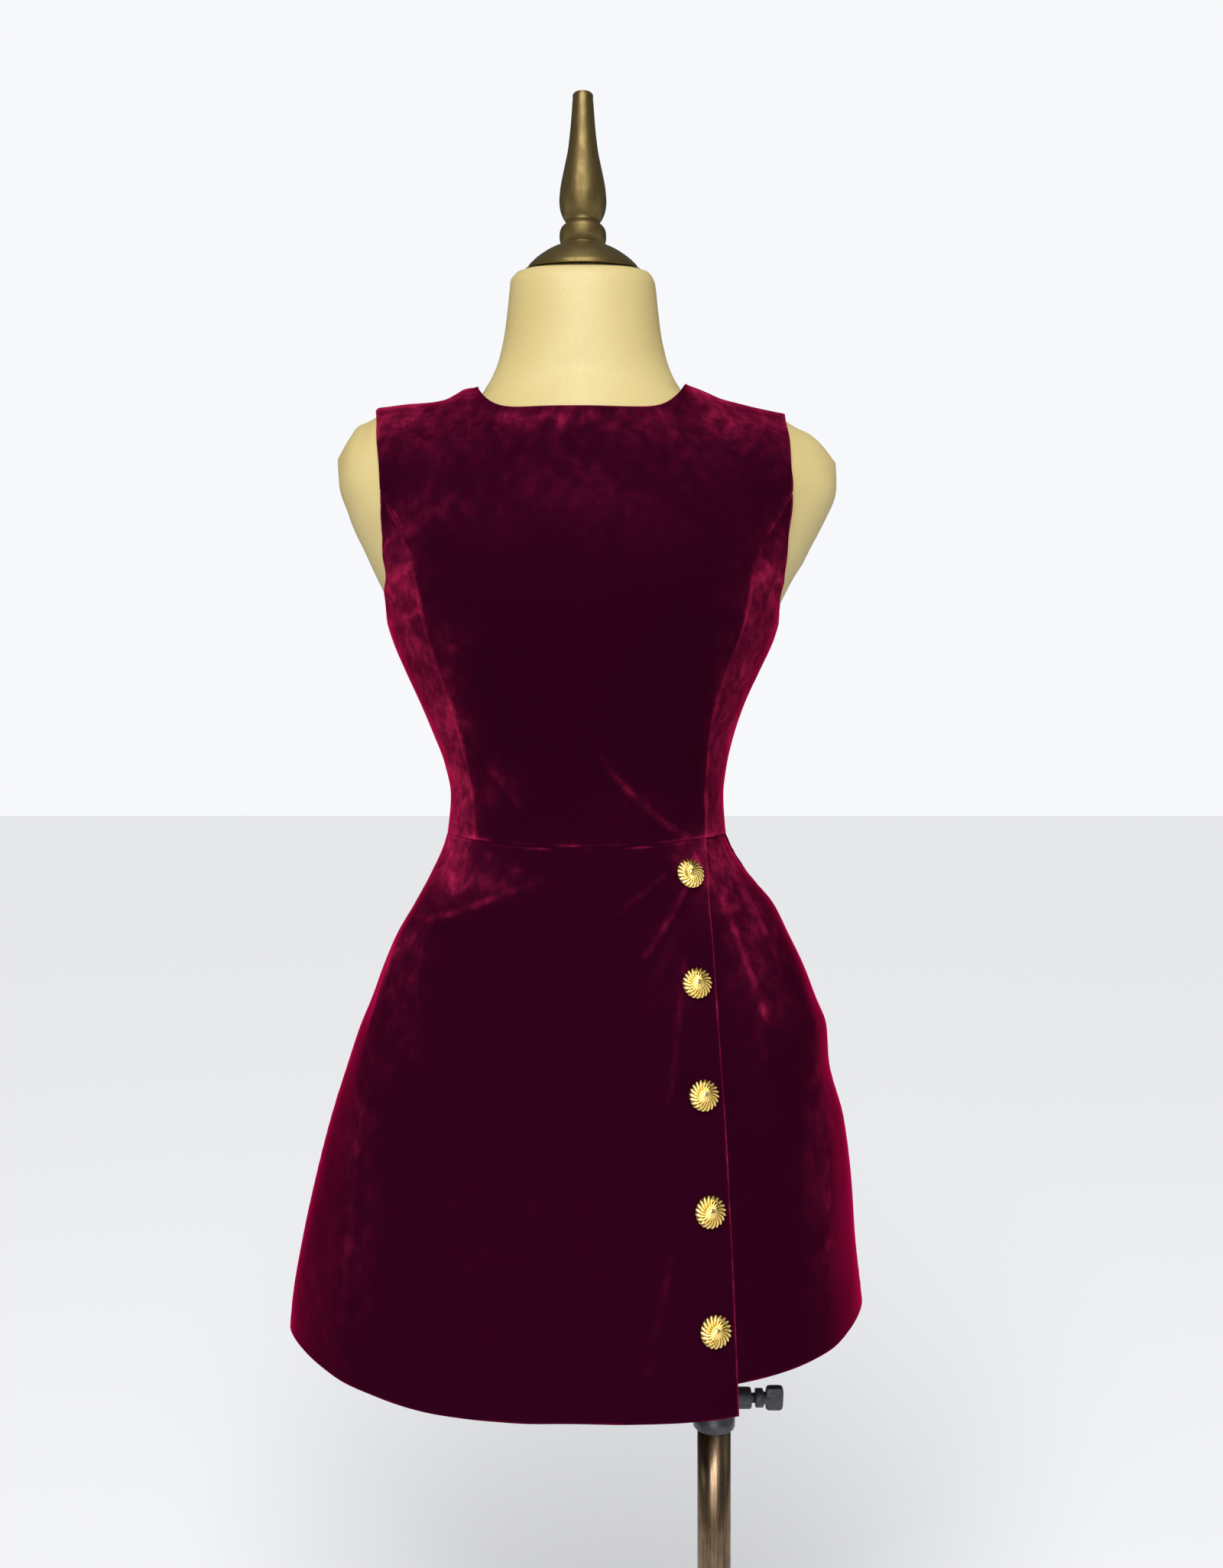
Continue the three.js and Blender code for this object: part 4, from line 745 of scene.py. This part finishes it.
def ringed_mesh(name, rings):
    """A closed mesh through rings of points, its first and last ring closed by a point at their middle."""
    count, around = rings.shape[:2]
    ends = np.stack([rings[0].mean(axis=0), rings[-1].mean(axis=0)])
    points = np.concatenate([rings.reshape(-1, 3), ends])
    quads = grid_faces(count, around, wrap=True)
    j = np.arange(around)
    first = np.stack([(j + 1) % around, j, np.full(around, count * around)], axis=-1)
    last_row = (count - 1) * around
    last = np.stack([last_row + j, last_row + (j + 1) % around, np.full(around, count * around + 1)], axis=-1)
    if enclosed_volume(quads, points) < 0:
        quads, first, last = quads[:, ::-1], first[:, ::-1], last[:, ::-1]
    return put_mesh(name, points, quads.tolist() + first.tolist() + last.tolist())


def make_button(number):
    """A domed button: a ring of swirled lobes round a polished crown, each lobe half a sine wave across."""
    z = BUTTON_TOP_Z - (number - 1) * BUTTON_SPACING
    place, out = frame_at(float(flap_edge_x(z)) - BUTTON_INSET, z, -1)
    under = np.array([(0.4, 0.0), (2.8, 0.0), (3.0, 0.3), (3.0, 1.3), (4.0, 1.6), (10.6, 1.9), (11.5, 2.1)])
    share = np.concatenate([np.linspace(1.0, 0.9, 6)[:-1], np.linspace(0.9, 0.02, 24)])
    dome = 2.35 + 3.9 * (1 - share**2.4) ** 0.72 + 0.5 * np.sqrt(np.maximum(1 - (share / 0.2) ** 2, 0))
    rim = np.stack([BUTTON_RADIUS * share - 0.25, dome], axis=-1)
    profile = np.concatenate([under, rim])
    reach = np.clip(profile[:, :1] / BUTTON_RADIUS, 0, 1)
    on_top = (np.arange(len(profile)) >= len(under) - 1).astype(float)[:, None]
    lobed = on_top * smooth_step(0.2, 0.5, reach)
    angle = np.linspace(0, 2 * np.pi, BUTTON_LOBES * BUTTON_STEPS, endpoint=False)
    swirl = angle[None, :] + BUTTON_SWIRL * reach + 0.11 * number
    lobe = np.abs(np.sin(BUTTON_LOBES / 2 * swirl)) ** 1.2
    bead = 1 + 0.4 * np.cos(2 * np.pi * reach * 3.1)
    radius = profile[:, :1] + lobed * 0.42 * (lobe - 0.5) * smooth_step(0.75, 1.0, reach)
    height = profile[:, 1:] + lobed * 1.15 * (lobe - 0.85) * bead
    local = np.stack([radius * np.cos(angle), radius * np.sin(angle), height], axis=-1)
    piece = ringed_mesh(f"button_{number}_gilt", place + local @ turn_to(out))
    # Painted shade: how dark each groove between the lobes is painted.
    put_attribute(piece, "painted_groove_shade", (1 - lobe) * (1.15 - 0.35 * bead) * lobed)
    finished(piece, f"button_{number}", "form", "gilt")


def smooth_profile(rows, steps=6):
    """A Catmull-Rom curve through rows of radius and height."""
    rows = np.asarray(rows, float)
    padded = np.concatenate([rows[:1], rows, rows[-1:]])[:, None, :]
    p0, p1, p2, p3 = padded[:-3], padded[1:-2], padded[2:-1], padded[3:]
    t = np.linspace(0, 1, steps, endpoint=False)[None, :, None]
    curve = 0.5 * (2 * p1 + (p2 - p0) * t + (2 * p0 - 5 * p1 + 4 * p2 - p3) * t**2
                   + (3 * p1 - p0 - 3 * p2 + p3) * t**3)
    return np.concatenate([curve.reshape(-1, 2), rows[-1:]])


def turned_rings(profile, centre_x, steps=96):
    """Rows of radius and height turned about an upright axis through centre_x."""
    angle = np.linspace(0, 2 * np.pi, steps, endpoint=False)
    radius = np.maximum(np.asarray(profile)[:, :1], 0.02)
    height = np.asarray(profile)[:, 1:] + np.zeros((1, steps))
    return np.stack([centre_x + radius * np.cos(angle), radius * np.sin(angle), height], axis=-1)


def turned_tube(name, profile, centre_x, steps=96):
    """A closed profile that keeps off the axis, turned into a ring."""
    rings = turned_rings(profile, centre_x, steps)
    count = len(rings)
    points = rings.reshape(-1, 3)
    faces = grid_faces(count, steps, wrap=True)
    j = np.arange(steps)
    last = (count - 1) * steps
    seam = np.stack([last + j, last + (j + 1) % steps, (j + 1) % steps, j], axis=-1)
    return put_mesh(name, points, face_outwards(np.concatenate([faces, seam]), points).tolist())


def form_shoulder_height(x):
    drop = look_up(SHOULDER_LINE, "form_drop", np.abs(x), "x")
    cap = CAP_FALL * smooth_step(CAP_START_X, CAP_END_X, np.abs(x)) ** CAP_CURVE
    return shoulder_height(x) - drop - cap


def form_depth(x, z, side):
    """The deeper of the chest's superellipse, rounded in at the shoulder, and the neck's ellipse. Where they
    differ by less than the blend, a square of what is left of it fills the corner between them."""
    across = np.minimum(np.abs(x) / look_up(FORM_SECTIONS, "half", z), 1.0)
    depth = by_side(FORM_SECTIONS, side, z, ("front", "back"))
    chest = depth * (1 - across**FORM_POWER) ** (1 / FORM_POWER)
    chest = chest * ridge_rounding(x, z, form_shoulder_height(x))
    neck_across = np.minimum(np.abs(x) / look_up(NECK_SECTIONS, "half", z), 1.0)
    neck = look_up(NECK_SECTIONS, "depth", z) * np.sqrt(1 - neck_across**2)
    near = np.maximum(NECK_BLEND - np.abs(chest - neck), 0) / NECK_BLEND
    return np.where(z < NECK_SECTIONS["z"][0], chest, np.maximum(chest, neck) + NECK_BLEND / 4 * near**2)


def form_half_width(z, direction):
    """The section's half-width, or where the shoulder's ridge comes down to this height, or the neck's."""
    section = look_up(FORM_SECTIONS, "half", z)
    low = np.zeros_like(z)
    high = section.copy()
    over = form_shoulder_height(direction * section) < z
    for _ in range(40):
        middle = (low + high) / 2
        inside = form_shoulder_height(direction * middle) > z
        low = np.where(over & inside, middle, low)
        high = np.where(over & ~inside, middle, high)
    neck = np.where(z < NECK_SECTIONS["z"][0], 0.0, look_up(NECK_SECTIONS, "half", z))
    return np.maximum(high, neck)


def tilt_lift(y, z):
    """The neck's top leans forward: lower in front and higher behind, as the rim of its cap is."""
    rising = smooth_step(NECK_TILT_START_Z, NECK_TOP_Z, z)
    return NECK_TILT * y * rising * (1 - smooth_step(NECK_TOP_Z + 1, CAP_TOP_Z, z))


def make_torso():
    """Rings of a superellipse from the hips to the neck's top, the lowest one drawn in, with a small tuck
    of the jersey at the neck's left corner."""
    heights = np.concatenate([
        np.linspace(FORM_BOTTOM_Z, 1330, 160), np.linspace(1333, 1400, 60),
        np.linspace(1402, NECK_TOP_Z, 40)])
    angle = np.linspace(0, 2 * np.pi, 180, endpoint=False)
    z = heights[:, None] + np.zeros_like(angle)[None, :]
    side = np.where(np.sin(angle) < 0, -1, 1)[None, :] + np.zeros_like(z)
    direction = np.where(np.cos(angle) < 0, -1.0, 1.0)[None, :] + np.zeros_like(z)
    share = np.abs(np.cos(angle)) ** (2 / FORM_POWER)
    x = form_half_width(z, direction) * direction * share
    on_ridge = np.abs(np.sin(angle)) < 1e-6
    y = np.where(on_ridge, 0.0, side * form_depth(x, z, side))
    x = x + np.sign(x) * by_side(ARM_REACH, x, z) * smooth_step(0.86, 1.0, share)
    tuck = np.exp(-(((angle[None, :] - 3.05) / 0.16) ** 2) - ((z - 1492.0) / 4.0) ** 2)
    grown = 1 + 0.03 * tuck
    rings = np.stack([x * grown, y * grown, z + tilt_lift(y, z)], axis=-1)
    foot = rings[:1].copy()
    foot[..., :2] *= 0.985
    foot[..., 2] = FORM_BOTTOM_Z
    rings[0, :, 2] += 2.0
    finished(ringed_mesh("torso_jersey", np.concatenate([foot, rings])), "torso", "form", "jersey")


CAP_PROFILE = [
    (0, 1500.3), (44.6, 1500.3), (45.8, 1500.9), (45.8, 1502), (45, 1503.8), (40, 1507.8), (32, 1512),
    (24, 1515), (17, 1516.8), (0, CAP_TOP_Z),
]
FINIAL_PROFILE = [
    (0, 1517.4), (15, 1517.4), (16.4, 1519), (19, 1523.5), (19.6, 1528.5), (18.6, 1533.5), (13.7, 1539),
    (16.6, 1544), (18.9, 1550), (19.8, 1557), (19.4, 1564), (18.7, 1570), (16.9, 1579.5), (15, 1588.5),
    (12.8, 1599.5), (10.9, 1615), (9.6, 1630), (8.6, 1643.5), (7.8, 1647.1), (0, 1647.8),
]


def make_form_trim():
    rings = turned_rings(smooth_profile(CAP_PROFILE, 5), 0.0)
    rings[..., 2] += tilt_lift(rings[..., 1], rings[..., 2])
    cap = ringed_mesh("neck_cap_gold", rings)
    finished(cap, "neck_cap", "form", "gold_paint")
    finial = ringed_mesh("finial_gold", turned_rings(smooth_profile(FINIAL_PROFILE, 6), 0.0))
    finished(finial, "finial", "form", "gold_paint")
    rod_profile = [(0, ROD_BOTTOM_Z), (ROD_RADIUS - 0.6, ROD_BOTTOM_Z), (ROD_RADIUS, ROD_BOTTOM_Z + 0.6),
                   (ROD_RADIUS, 600), (ROD_RADIUS, 700), (ROD_RADIUS, ROD_TOP_Z), (0, ROD_TOP_Z)]
    rod = ringed_mesh("height_rod_steel", turned_rings(rod_profile, POLE_X))
    finished(rod, "height_rod", "form", "polished_steel")


def make_stand():
    base_bottom = [(0, 0), (BASE_RADIUS - 1.5, 0), (BASE_RADIUS - 0.4, 0.5), (BASE_RADIUS, 1.5)]
    base_top = [(BASE_RADIUS, BASE_THICKNESS - 1.2), (BASE_RADIUS - 0.4, BASE_THICKNESS - 0.35),
                (BASE_RADIUS - 1.3, BASE_THICKNESS), (BASE_RADIUS - 40, BASE_THICKNESS), (0, BASE_THICKNESS)]
    base = ringed_mesh("base_plate_steel", turned_rings(base_bottom + base_top, 0.0, 160))
    finished(base, "base_plate", "stand", "base_steel")
    bottom = BASE_THICKNESS + FIT_GAP
    tube = [(POLE_BORE_RADIUS, bottom), (POLE_RADIUS, bottom), (POLE_RADIUS, 200), (POLE_RADIUS, 400),
            (POLE_RADIUS, POLE_TOP_Z), (POLE_BORE_RADIUS, POLE_TOP_Z)]
    finished(turned_tube("pole_steel", tube, POLE_X), "pole", "stand", "polished_steel")
    bore = POLE_RADIUS + FIT_GAP
    flange = [(bore, bottom), (33.4, bottom), (34, bottom + 0.6), (34, bottom + 4), (33, bottom + 5),
              (26, bottom + 7.4), (21.5, bottom + 11), (19.6, bottom + 16), (18.7, bottom + 28),
              (18.5, SOCKET_TOP_Z - 1.5), (17.6, SOCKET_TOP_Z), (bore, SOCKET_TOP_Z)]
    finished(turned_tube("base_socket_steel", flange, POLE_X), "base_socket", "stand", "polished_steel")


def along_x(profile, steps=48):
    """Rows of radius and distance turned about a level axis that runs out from the pole at the screw."""
    rings = turned_rings(profile, 0.0, steps)
    return np.stack([POLE_X + rings[..., 2], rings[..., 0], SCREW_Z + rings[..., 1]], axis=-1)


def joined(name, pieces):
    """One object from several closed meshes."""
    bpy.ops.object.select_all(action="DESELECT")
    for piece in pieces:
        piece.select_set(True)
    bpy.context.view_layer.objects.active = pieces[0]
    bpy.ops.object.join()
    pieces[0].name = name
    pieces[0].data.name = name
    return pieces[0]


def signed_power(value, power):
    return np.sign(value) * np.abs(value) ** power


def make_clamp():
    """The collar with its boss, and the thumbscrew: a turned shaft with a rounded flat wing."""
    bore = ROD_RADIUS + FIT_GAP
    wide_bore = POLE_RADIUS + FIT_GAP
    collar = [
        (wide_bore, CLAMP_BOTTOM_Z), (CLAMP_RADIUS - 0.9, CLAMP_BOTTOM_Z),
        (CLAMP_RADIUS, CLAMP_BOTTOM_Z + 0.9), (CLAMP_RADIUS, 539), (CLAMP_RADIUS - 0.8, 540),
        (CLAMP_RADIUS - 0.8, 568), (CLAMP_RADIUS, 569),
        (CLAMP_RADIUS, CLAMP_TOP_Z - 0.9), (CLAMP_RADIUS - 0.9, CLAMP_TOP_Z), (bore, CLAMP_TOP_Z),
        (bore, POLE_TOP_Z + FIT_GAP), (wide_bore, POLE_TOP_Z + FIT_GAP),
    ]
    body = turned_tube("clamp_body", collar, POLE_X)
    boss = ringed_mesh("clamp_boss", along_x([
        (0, 15.2), (9.6, 15.2), (9.2, 17.5), (8.6, 19.5), (8.5, 29.6), (8.1, 30.6), (7.4, 31), (0, 31)]))
    finished(joined("clamp_collar_dark", [body, boss]), "clamp_collar", "stand", "dark_metal")

    shaft = ringed_mesh("screw_shaft", along_x([
        (0, 12.5), (3.4, 12.5), (4, 13.3), (4, 31), (4, 34.4), (7.1, 34.5), (7.5, 34.9), (7.5, 40.6),
        (7.1, 41), (5.2, 41.4), (4.6, 43), (4.4, 47), (0, 47.2)]))
    around = np.linspace(0, 2 * np.pi, 48, endpoint=False)
    height = np.linspace(-np.pi / 2, np.pi / 2, 26)[:, None]
    girth = np.abs(np.cos(height)) ** 0.35
    wing_x = 50.5 + 7.5 * girth * signed_power(np.cos(around), 0.4)
    wing_y = 3.5 * girth * signed_power(np.sin(around), 0.4)
    wing_z = 11 * signed_power(np.sin(height), 0.35) + np.zeros_like(wing_x)
    turned_y = wing_y * math.cos(SCREW_TILT) - wing_z * math.sin(SCREW_TILT)
    turned_z = wing_y * math.sin(SCREW_TILT) + wing_z * math.cos(SCREW_TILT)
    wing = ringed_mesh("screw_wing", np.stack([POLE_X + wing_x, turned_y, SCREW_Z + turned_z], axis=-1))
    finished(joined("clamp_screw_dark", [shaft, wing]), "clamp_screw", "clamp_screw", "dark_metal")


class Nodes:
    """A short way to add nodes and links to a material or a group. A socket is given a link where its value
    is another node's output, and a plain value otherwise."""

    def __init__(self, tree):
        self.tree = tree

    def put(self, sockets, values):
        for socket, value in zip(sockets, values):
            if isinstance(value, bpy.types.NodeSocket):
                self.tree.links.new(value, socket)
            else:
                socket.default_value = value

    def fill(self, node, **inputs):
        """Gives a node's sockets by name, with _ for a space."""
        self.put([node.inputs[name.replace("_", " ")] for name in inputs], inputs.values())
        return node

    def add(self, kind, settings=None, **inputs):
        node = self.tree.nodes.new(kind)
        for name, value in (settings or {}).items():
            setattr(node, name, value)
        return self.fill(node, **inputs)

    def maths(self, operation, *values):
        node = self.add("ShaderNodeMath", {"operation": operation})
        self.put(node.inputs, values)
        return node.outputs[0]

    def stretched(self, vector, factors):
        node = self.add("ShaderNodeVectorMath", {"operation": "MULTIPLY"})
        self.put(node.inputs, (vector, factors))
        return node.outputs[0]

    def noise(self, vector, scale, detail, roughness, **more):
        more.update(Vector=vector, Scale=scale, Detail=detail, Roughness=roughness)
        return self.add("ShaderNodeTexNoise", **more).outputs[0]

    def blend(self, share, low, high):
        node = self.add("ShaderNodeMix", {"data_type": "RGBA"})
        self.put([node.inputs[k] for k in (0, 6, 7)], (share, low, high))
        return node.outputs[2]

    def weighted(self, first, first_share, second, second_share):
        return self.maths("ADD", self.maths("MULTIPLY", first, first_share),
                          self.maths("MULTIPLY", second, second_share))

    def span(self, value, low, high, to_low=0.0, to_high=1.0):
        node = self.add("ShaderNodeMapRange", {"interpolation_type": "SMOOTHSTEP"})
        self.put(node.inputs, (value, low, high, to_low, to_high))
        return node.outputs[0]

    def bump(self, height, strength, distance):
        return self.add("ShaderNodeBump", Strength=strength, Distance=distance, Height=height).outputs[0]

    def attribute(self, name):
        return self.add("ShaderNodeAttribute", {"attribute_name": name}).outputs["Fac"]


def new_group(name, inputs, outputs):
    """A shader group with a socket for each input, of its value's kind, and a number for each output."""
    group = bpy.data.node_groups.new(name, "ShaderNodeTree")
    for label, value in inputs.items():
        kind = "NodeSocketFloat" if isinstance(value, float) else "NodeSocketVector"
        group.interface.new_socket(label, in_out="INPUT", socket_type=kind).default_value = value
    for label in outputs:
        group.interface.new_socket(label, in_out="OUTPUT", socket_type="NodeSocketFloat")
    nodes = Nodes(group)
    return group, nodes, nodes.add("NodeGroupInput").outputs, nodes.add("NodeGroupOutput")


def pile_group():
    """Fibres: large soft patches, small strokes drawn out along the height, and the fine pile itself."""
    group, nodes, given, result = new_group(
        "pile", {"Vector": (0.0, 0.0, 0.0), "Patch Scale": 9.0, "Stroke Scale": 150.0, "Pile Scale": 1500.0,
                 "Stretch": 0.4}, ("Patches", "Strokes", "Height"))
    factors = nodes.add("ShaderNodeCombineXYZ", X=1.0, Y=1.0, Z=given["Stretch"]).outputs[0]
    drawn = nodes.stretched(given["Vector"], factors)
    patch = nodes.noise(given["Vector"], given["Patch Scale"], 2.5, 0.55, Distortion=0.6)
    stroke = nodes.noise(drawn, given["Stroke Scale"], 3.0, 0.6)
    pile = nodes.noise(given["Vector"], given["Pile Scale"], 2.0, 0.6)
    strokes = nodes.span(stroke, 0.3, 0.7)
    nodes.fill(result, Patches=nodes.span(patch, 0.38, 0.66), Strokes=strokes,
               Height=nodes.weighted(strokes, 0.65, pile, 0.35))
    return group


def wear_group():
    """Handling marks: smudges by soft noise and fine scratches by noise drawn out along one way."""
    group, nodes, given, result = new_group(
        "wear", {"Vector": (0.0, 0.0, 0.0), "Smudge Scale": 30.0, "Scratch Scale": 400.0,
                 "Stretch": (1.0, 1.0, 0.05)}, ("Smudge", "Scratch"))
    drawn = nodes.stretched(given["Vector"], given["Stretch"])
    smudge = nodes.noise(given["Vector"], given["Smudge Scale"], 4.0, 0.6)
    scratch = nodes.noise(drawn, given["Scratch Scale"], 2.0, 0.5)
    nodes.fill(result, Smudge=nodes.span(smudge, 0.35, 0.7), Scratch=nodes.span(scratch, 0.35, 0.65))
    return group


def new_material(name, group, **inputs):
    """A material, its nodes and shader, and a group's outputs over the object's own coordinates."""
    material = bpy.data.materials.new(name)
    material.use_nodes = True
    nodes = Nodes(material.node_tree)
    place = nodes.add("ShaderNodeTexCoord").outputs["Object"]
    marks = nodes.add("ShaderNodeGroup", {"node_tree": group}, Vector=place, **inputs)
    return material, nodes, material.node_tree.nodes["Principled BSDF"], marks.outputs


def velvet_material(pile):
    """Short velvet: a nearly black wine ground, painted crimson as brushed nap, sheen and highlights; real
    sheen where seen aslant.
    """
    material, nodes, shader, nap_and_painted_light = new_material("wine velvet", pile, Patch_Scale=24.0, Stroke_Scale=150.0,
                                                Pile_Scale=1300.0, Stretch=0.75)
    mottled_nap_and_light = nodes.maths("MULTIPLY", nodes.attribute("nap_and_painted_light"), nodes.span(nap_and_painted_light["Strokes"], 0, 1, 0.75, 1.2))
    mottled_nap_and_light = nodes.maths("MULTIPLY", mottled_nap_and_light, nodes.span(nap_and_painted_light["Patches"], 0, 1, 0.8, 1.25))
    faint = nodes.maths("MULTIPLY", nap_and_painted_light["Patches"], 0.02)
    share = nodes.span(nodes.maths("ADD", mottled_nap_and_light, faint), 0.0, 1.0)
    # The ground runs to crimson with the attribute of brushed nap and painted sheen, highlights and shade.
    nodes.fill(shader, Base_Color=nodes.blend(share, (0.017, 0.0006, 0.0064, 1), (0.3, 0.011, 0.052, 1)),
               Roughness=nodes.span(nap_and_painted_light["Strokes"], 0, 1, 0.95, 0.8),
               Normal=nodes.bump(nap_and_painted_light["Height"], 0.3, 0.0004), Specular_IOR_Level=0.0,
               Sheen_Weight=0.75, Sheen_Roughness=0.28, Sheen_Tint=(0.8, 0.006, 0.1, 1))
    return material


def jersey_material(pile):
    """Tight cream-gold jersey: fine knit, a little darker in soft patches, with a soft pale gloss."""
    material, nodes, shader, knit = new_material("cream jersey", pile, Patch_Scale=7.0, Stroke_Scale=420.0,
                                                 Pile_Scale=1900.0, Stretch=0.6)
    shade = nodes.maths("MULTIPLY", knit["Patches"], 0.8)
    nodes.fill(shader, Base_Color=nodes.blend(shade, (0.51, 0.41, 0.168, 1), (0.465, 0.36, 0.137, 1)),
               Roughness=nodes.span(knit["Strokes"], 0, 1, 0.48, 0.58),
               Normal=nodes.bump(knit["Height"], 0.25, 0.0004), Specular_IOR_Level=0.6)
    return material


def metal_material(name, wear, light, dark, metallic, roughness, stretch=(1.0, 1.0, 0.05), scale=30.0,
                   streaks=0.1, painted_groove_shade=None):
    """A metal or metallic paint: smudges tint it and dull it, fine scratches break its gloss; a groove colour
    paints shade into grooves.
    """
    material, nodes, shader, marks = new_material(name, wear, Smudge_Scale=scale, Scratch_Scale=500.0,
                                                  Stretch=stretch)
    tarnish = nodes.weighted(marks["Smudge"], 0.5, marks["Scratch"], streaks)
    color = nodes.blend(tarnish, light, dark)
    # Painted shade darkens the grooves between a button's lobes.
    if painted_groove_shade:
        color = nodes.blend(nodes.span(nodes.attribute("painted_groove_shade"), 0.12, 0.8, 0.0, 0.95), color, painted_groove_shade)
    dull = nodes.weighted(marks["Smudge"], 0.55, marks["Scratch"], 0.45)
    nodes.fill(shader, Base_Color=color, Roughness=nodes.span(dull, 0, 1, *roughness),
               Normal=nodes.bump(marks["Scratch"], 0.08, 0.0003), Metallic=metallic)
    return material


# The lamps: each one's place from the middle of the dress, which it is aimed at, its power, and its size in
# metres, or the sun's angle.
LAMPS = (
    ("window wall", "SUN", (-0.15, -2.0, 2.1), 3.3, 0.8),
    ("left window", "AREA", (-2.2, -0.3, 0.7), 3.5, 1.4),
    ("right window", "AREA", (2.2, -0.3, 0.6), 3.0, 1.4),
    ("front screen", "AREA", (-0.3, -2.8, 0.6), 34.0, 2.2),
)
DRESS_MIDDLE_Z = 1.05
# Half the floor's width, in millimetres.
FLOOR_REACH = 40000.0


def dress_the_pieces():
    pile = pile_group()
    wear = wear_group()
    looks = {
        "velvet": velvet_material(pile),
        "jersey": jersey_material(pile),
        "gold_paint": metal_material("old-gold paint", wear, (0.14, 0.1, 0.032, 1), (0.088, 0.059, 0.018, 1),
                                     0.8, (0.36, 0.5), scale=45.0),
        # The gilt's grooves get a painted shade colour.
        "gilt": metal_material("gilt", wear, (0.95, 0.72, 0.25, 1), (0.8, 0.56, 0.15, 1), 1.0, (0.18, 0.32),
                               scale=160.0, painted_groove_shade=(0.16, 0.085, 0.01, 1)),
        "polished_steel": metal_material("polished steel", wear, (0.22, 0.155, 0.095, 1),
                                         (0.07, 0.042, 0.025, 1), 1.0, (0.22, 0.38), streaks=0.5),
        "dark_metal": metal_material("dark cast metal", wear, (0.07, 0.07, 0.08, 1), (0.022, 0.018, 0.02, 1),
                                     0.7, (0.32, 0.55), stretch=(0.3, 1.0, 1.0), scale=90.0),
        "base_steel": metal_material("brushed base", wear, (0.62, 0.62, 0.63, 1), (0.48, 0.48, 0.5, 1), 1.0,
                                     (0.28, 0.45), stretch=(0.04, 1.0, 1.0), scale=14.0),
    }
    for piece in bpy.data.objects:
        name = piece.get("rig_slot")
        if piece.type == "MESH" and name in looks:
            piece.data.materials.clear()
            piece.data.materials.append(looks[name])


def make_studio():
    """A pale floor and world. Only the camera sees the world at its full paleness, so that it fills the
    shadows softly, and a broad light falls from above and behind the camera."""
    scene = bpy.context.scene
    scene.view_settings.view_transform = "Standard"
    world = bpy.data.worlds.new("pale studio")
    world.use_nodes = True
    nodes = Nodes(world.node_tree)
    filling = nodes.fill(world.node_tree.nodes["Background"], Color=(0.83, 0.85, 0.9, 1), Strength=0.17)
    seen = nodes.add("ShaderNodeBackground", Color=(0.93, 0.94, 0.965, 1), Strength=1.0)
    either = nodes.add("ShaderNodeMixShader")
    camera_ray = nodes.add("ShaderNodeLightPath").outputs["Is Camera Ray"]
    nodes.put(either.inputs, (camera_ray, filling.outputs[0], seen.outputs[0]))
    nodes.fill(world.node_tree.nodes["World Output"], Surface=either.outputs[0])
    scene.world = world
    corners = [(-FLOOR_REACH, -FLOOR_REACH, 0), (FLOOR_REACH, -FLOOR_REACH, 0), (FLOOR_REACH, FLOOR_REACH, 0),
               (-FLOOR_REACH, FLOOR_REACH, 0)]
    floor = put_mesh("floor", corners, [(0, 1, 2, 3)])
    pale = bpy.data.materials.new("pale floor")
    pale.use_nodes = True
    Nodes(pale.node_tree).fill(pale.node_tree.nodes["Principled BSDF"], Base_Color=(0.88, 0.885, 0.9, 1),
                               Roughness=0.9, Specular_IOR_Level=0.0)
    floor.data.materials.append(pale)
    for name, kind, place, power, size in LAMPS:
        light = bpy.data.lights.new(name, kind)
        light.energy = power
        setattr(light, "angle" if kind == "SUN" else "size", size)
        lamp = bpy.data.objects.new(name, light)
        scene.collection.objects.link(lamp)
        lamp.location = (place[0], place[1], place[2] + DRESS_MIDDLE_Z)
        lamp.rotation_euler = direction_to_euler(-np.array(place))


def direction_to_euler(aim):
    """Euler angles that point an object's -Z along the direction and keep its X level."""
    level = math.hypot(aim[0], aim[1])
    return (math.atan2(level, -aim[2]), 0.0, math.atan2(aim[1], aim[0]) - math.pi / 2)


def make_camera():
    """Straight at the dress front, level, a metre from the form's middle plane."""
    camera = bpy.data.cameras.new("camera")
    camera.sensor_fit = "AUTO"
    camera.sensor_width = 36.0
    camera.lens = 28.07
    view = bpy.data.objects.new("camera", camera)
    view.location = (0.024, -1.026, 1.069)
    view.rotation_euler = (math.pi / 2, 0.0, 0.0)
    bpy.context.scene.collection.objects.link(view)
    bpy.context.scene.camera = view


make_camera()
make_bodice()
make_skirt()
for button_number in range(1, BUTTON_COUNT + 1):
    make_button(button_number)
make_torso()
make_form_trim()
make_stand()
make_clamp()
dress_the_pieces()
make_studio()
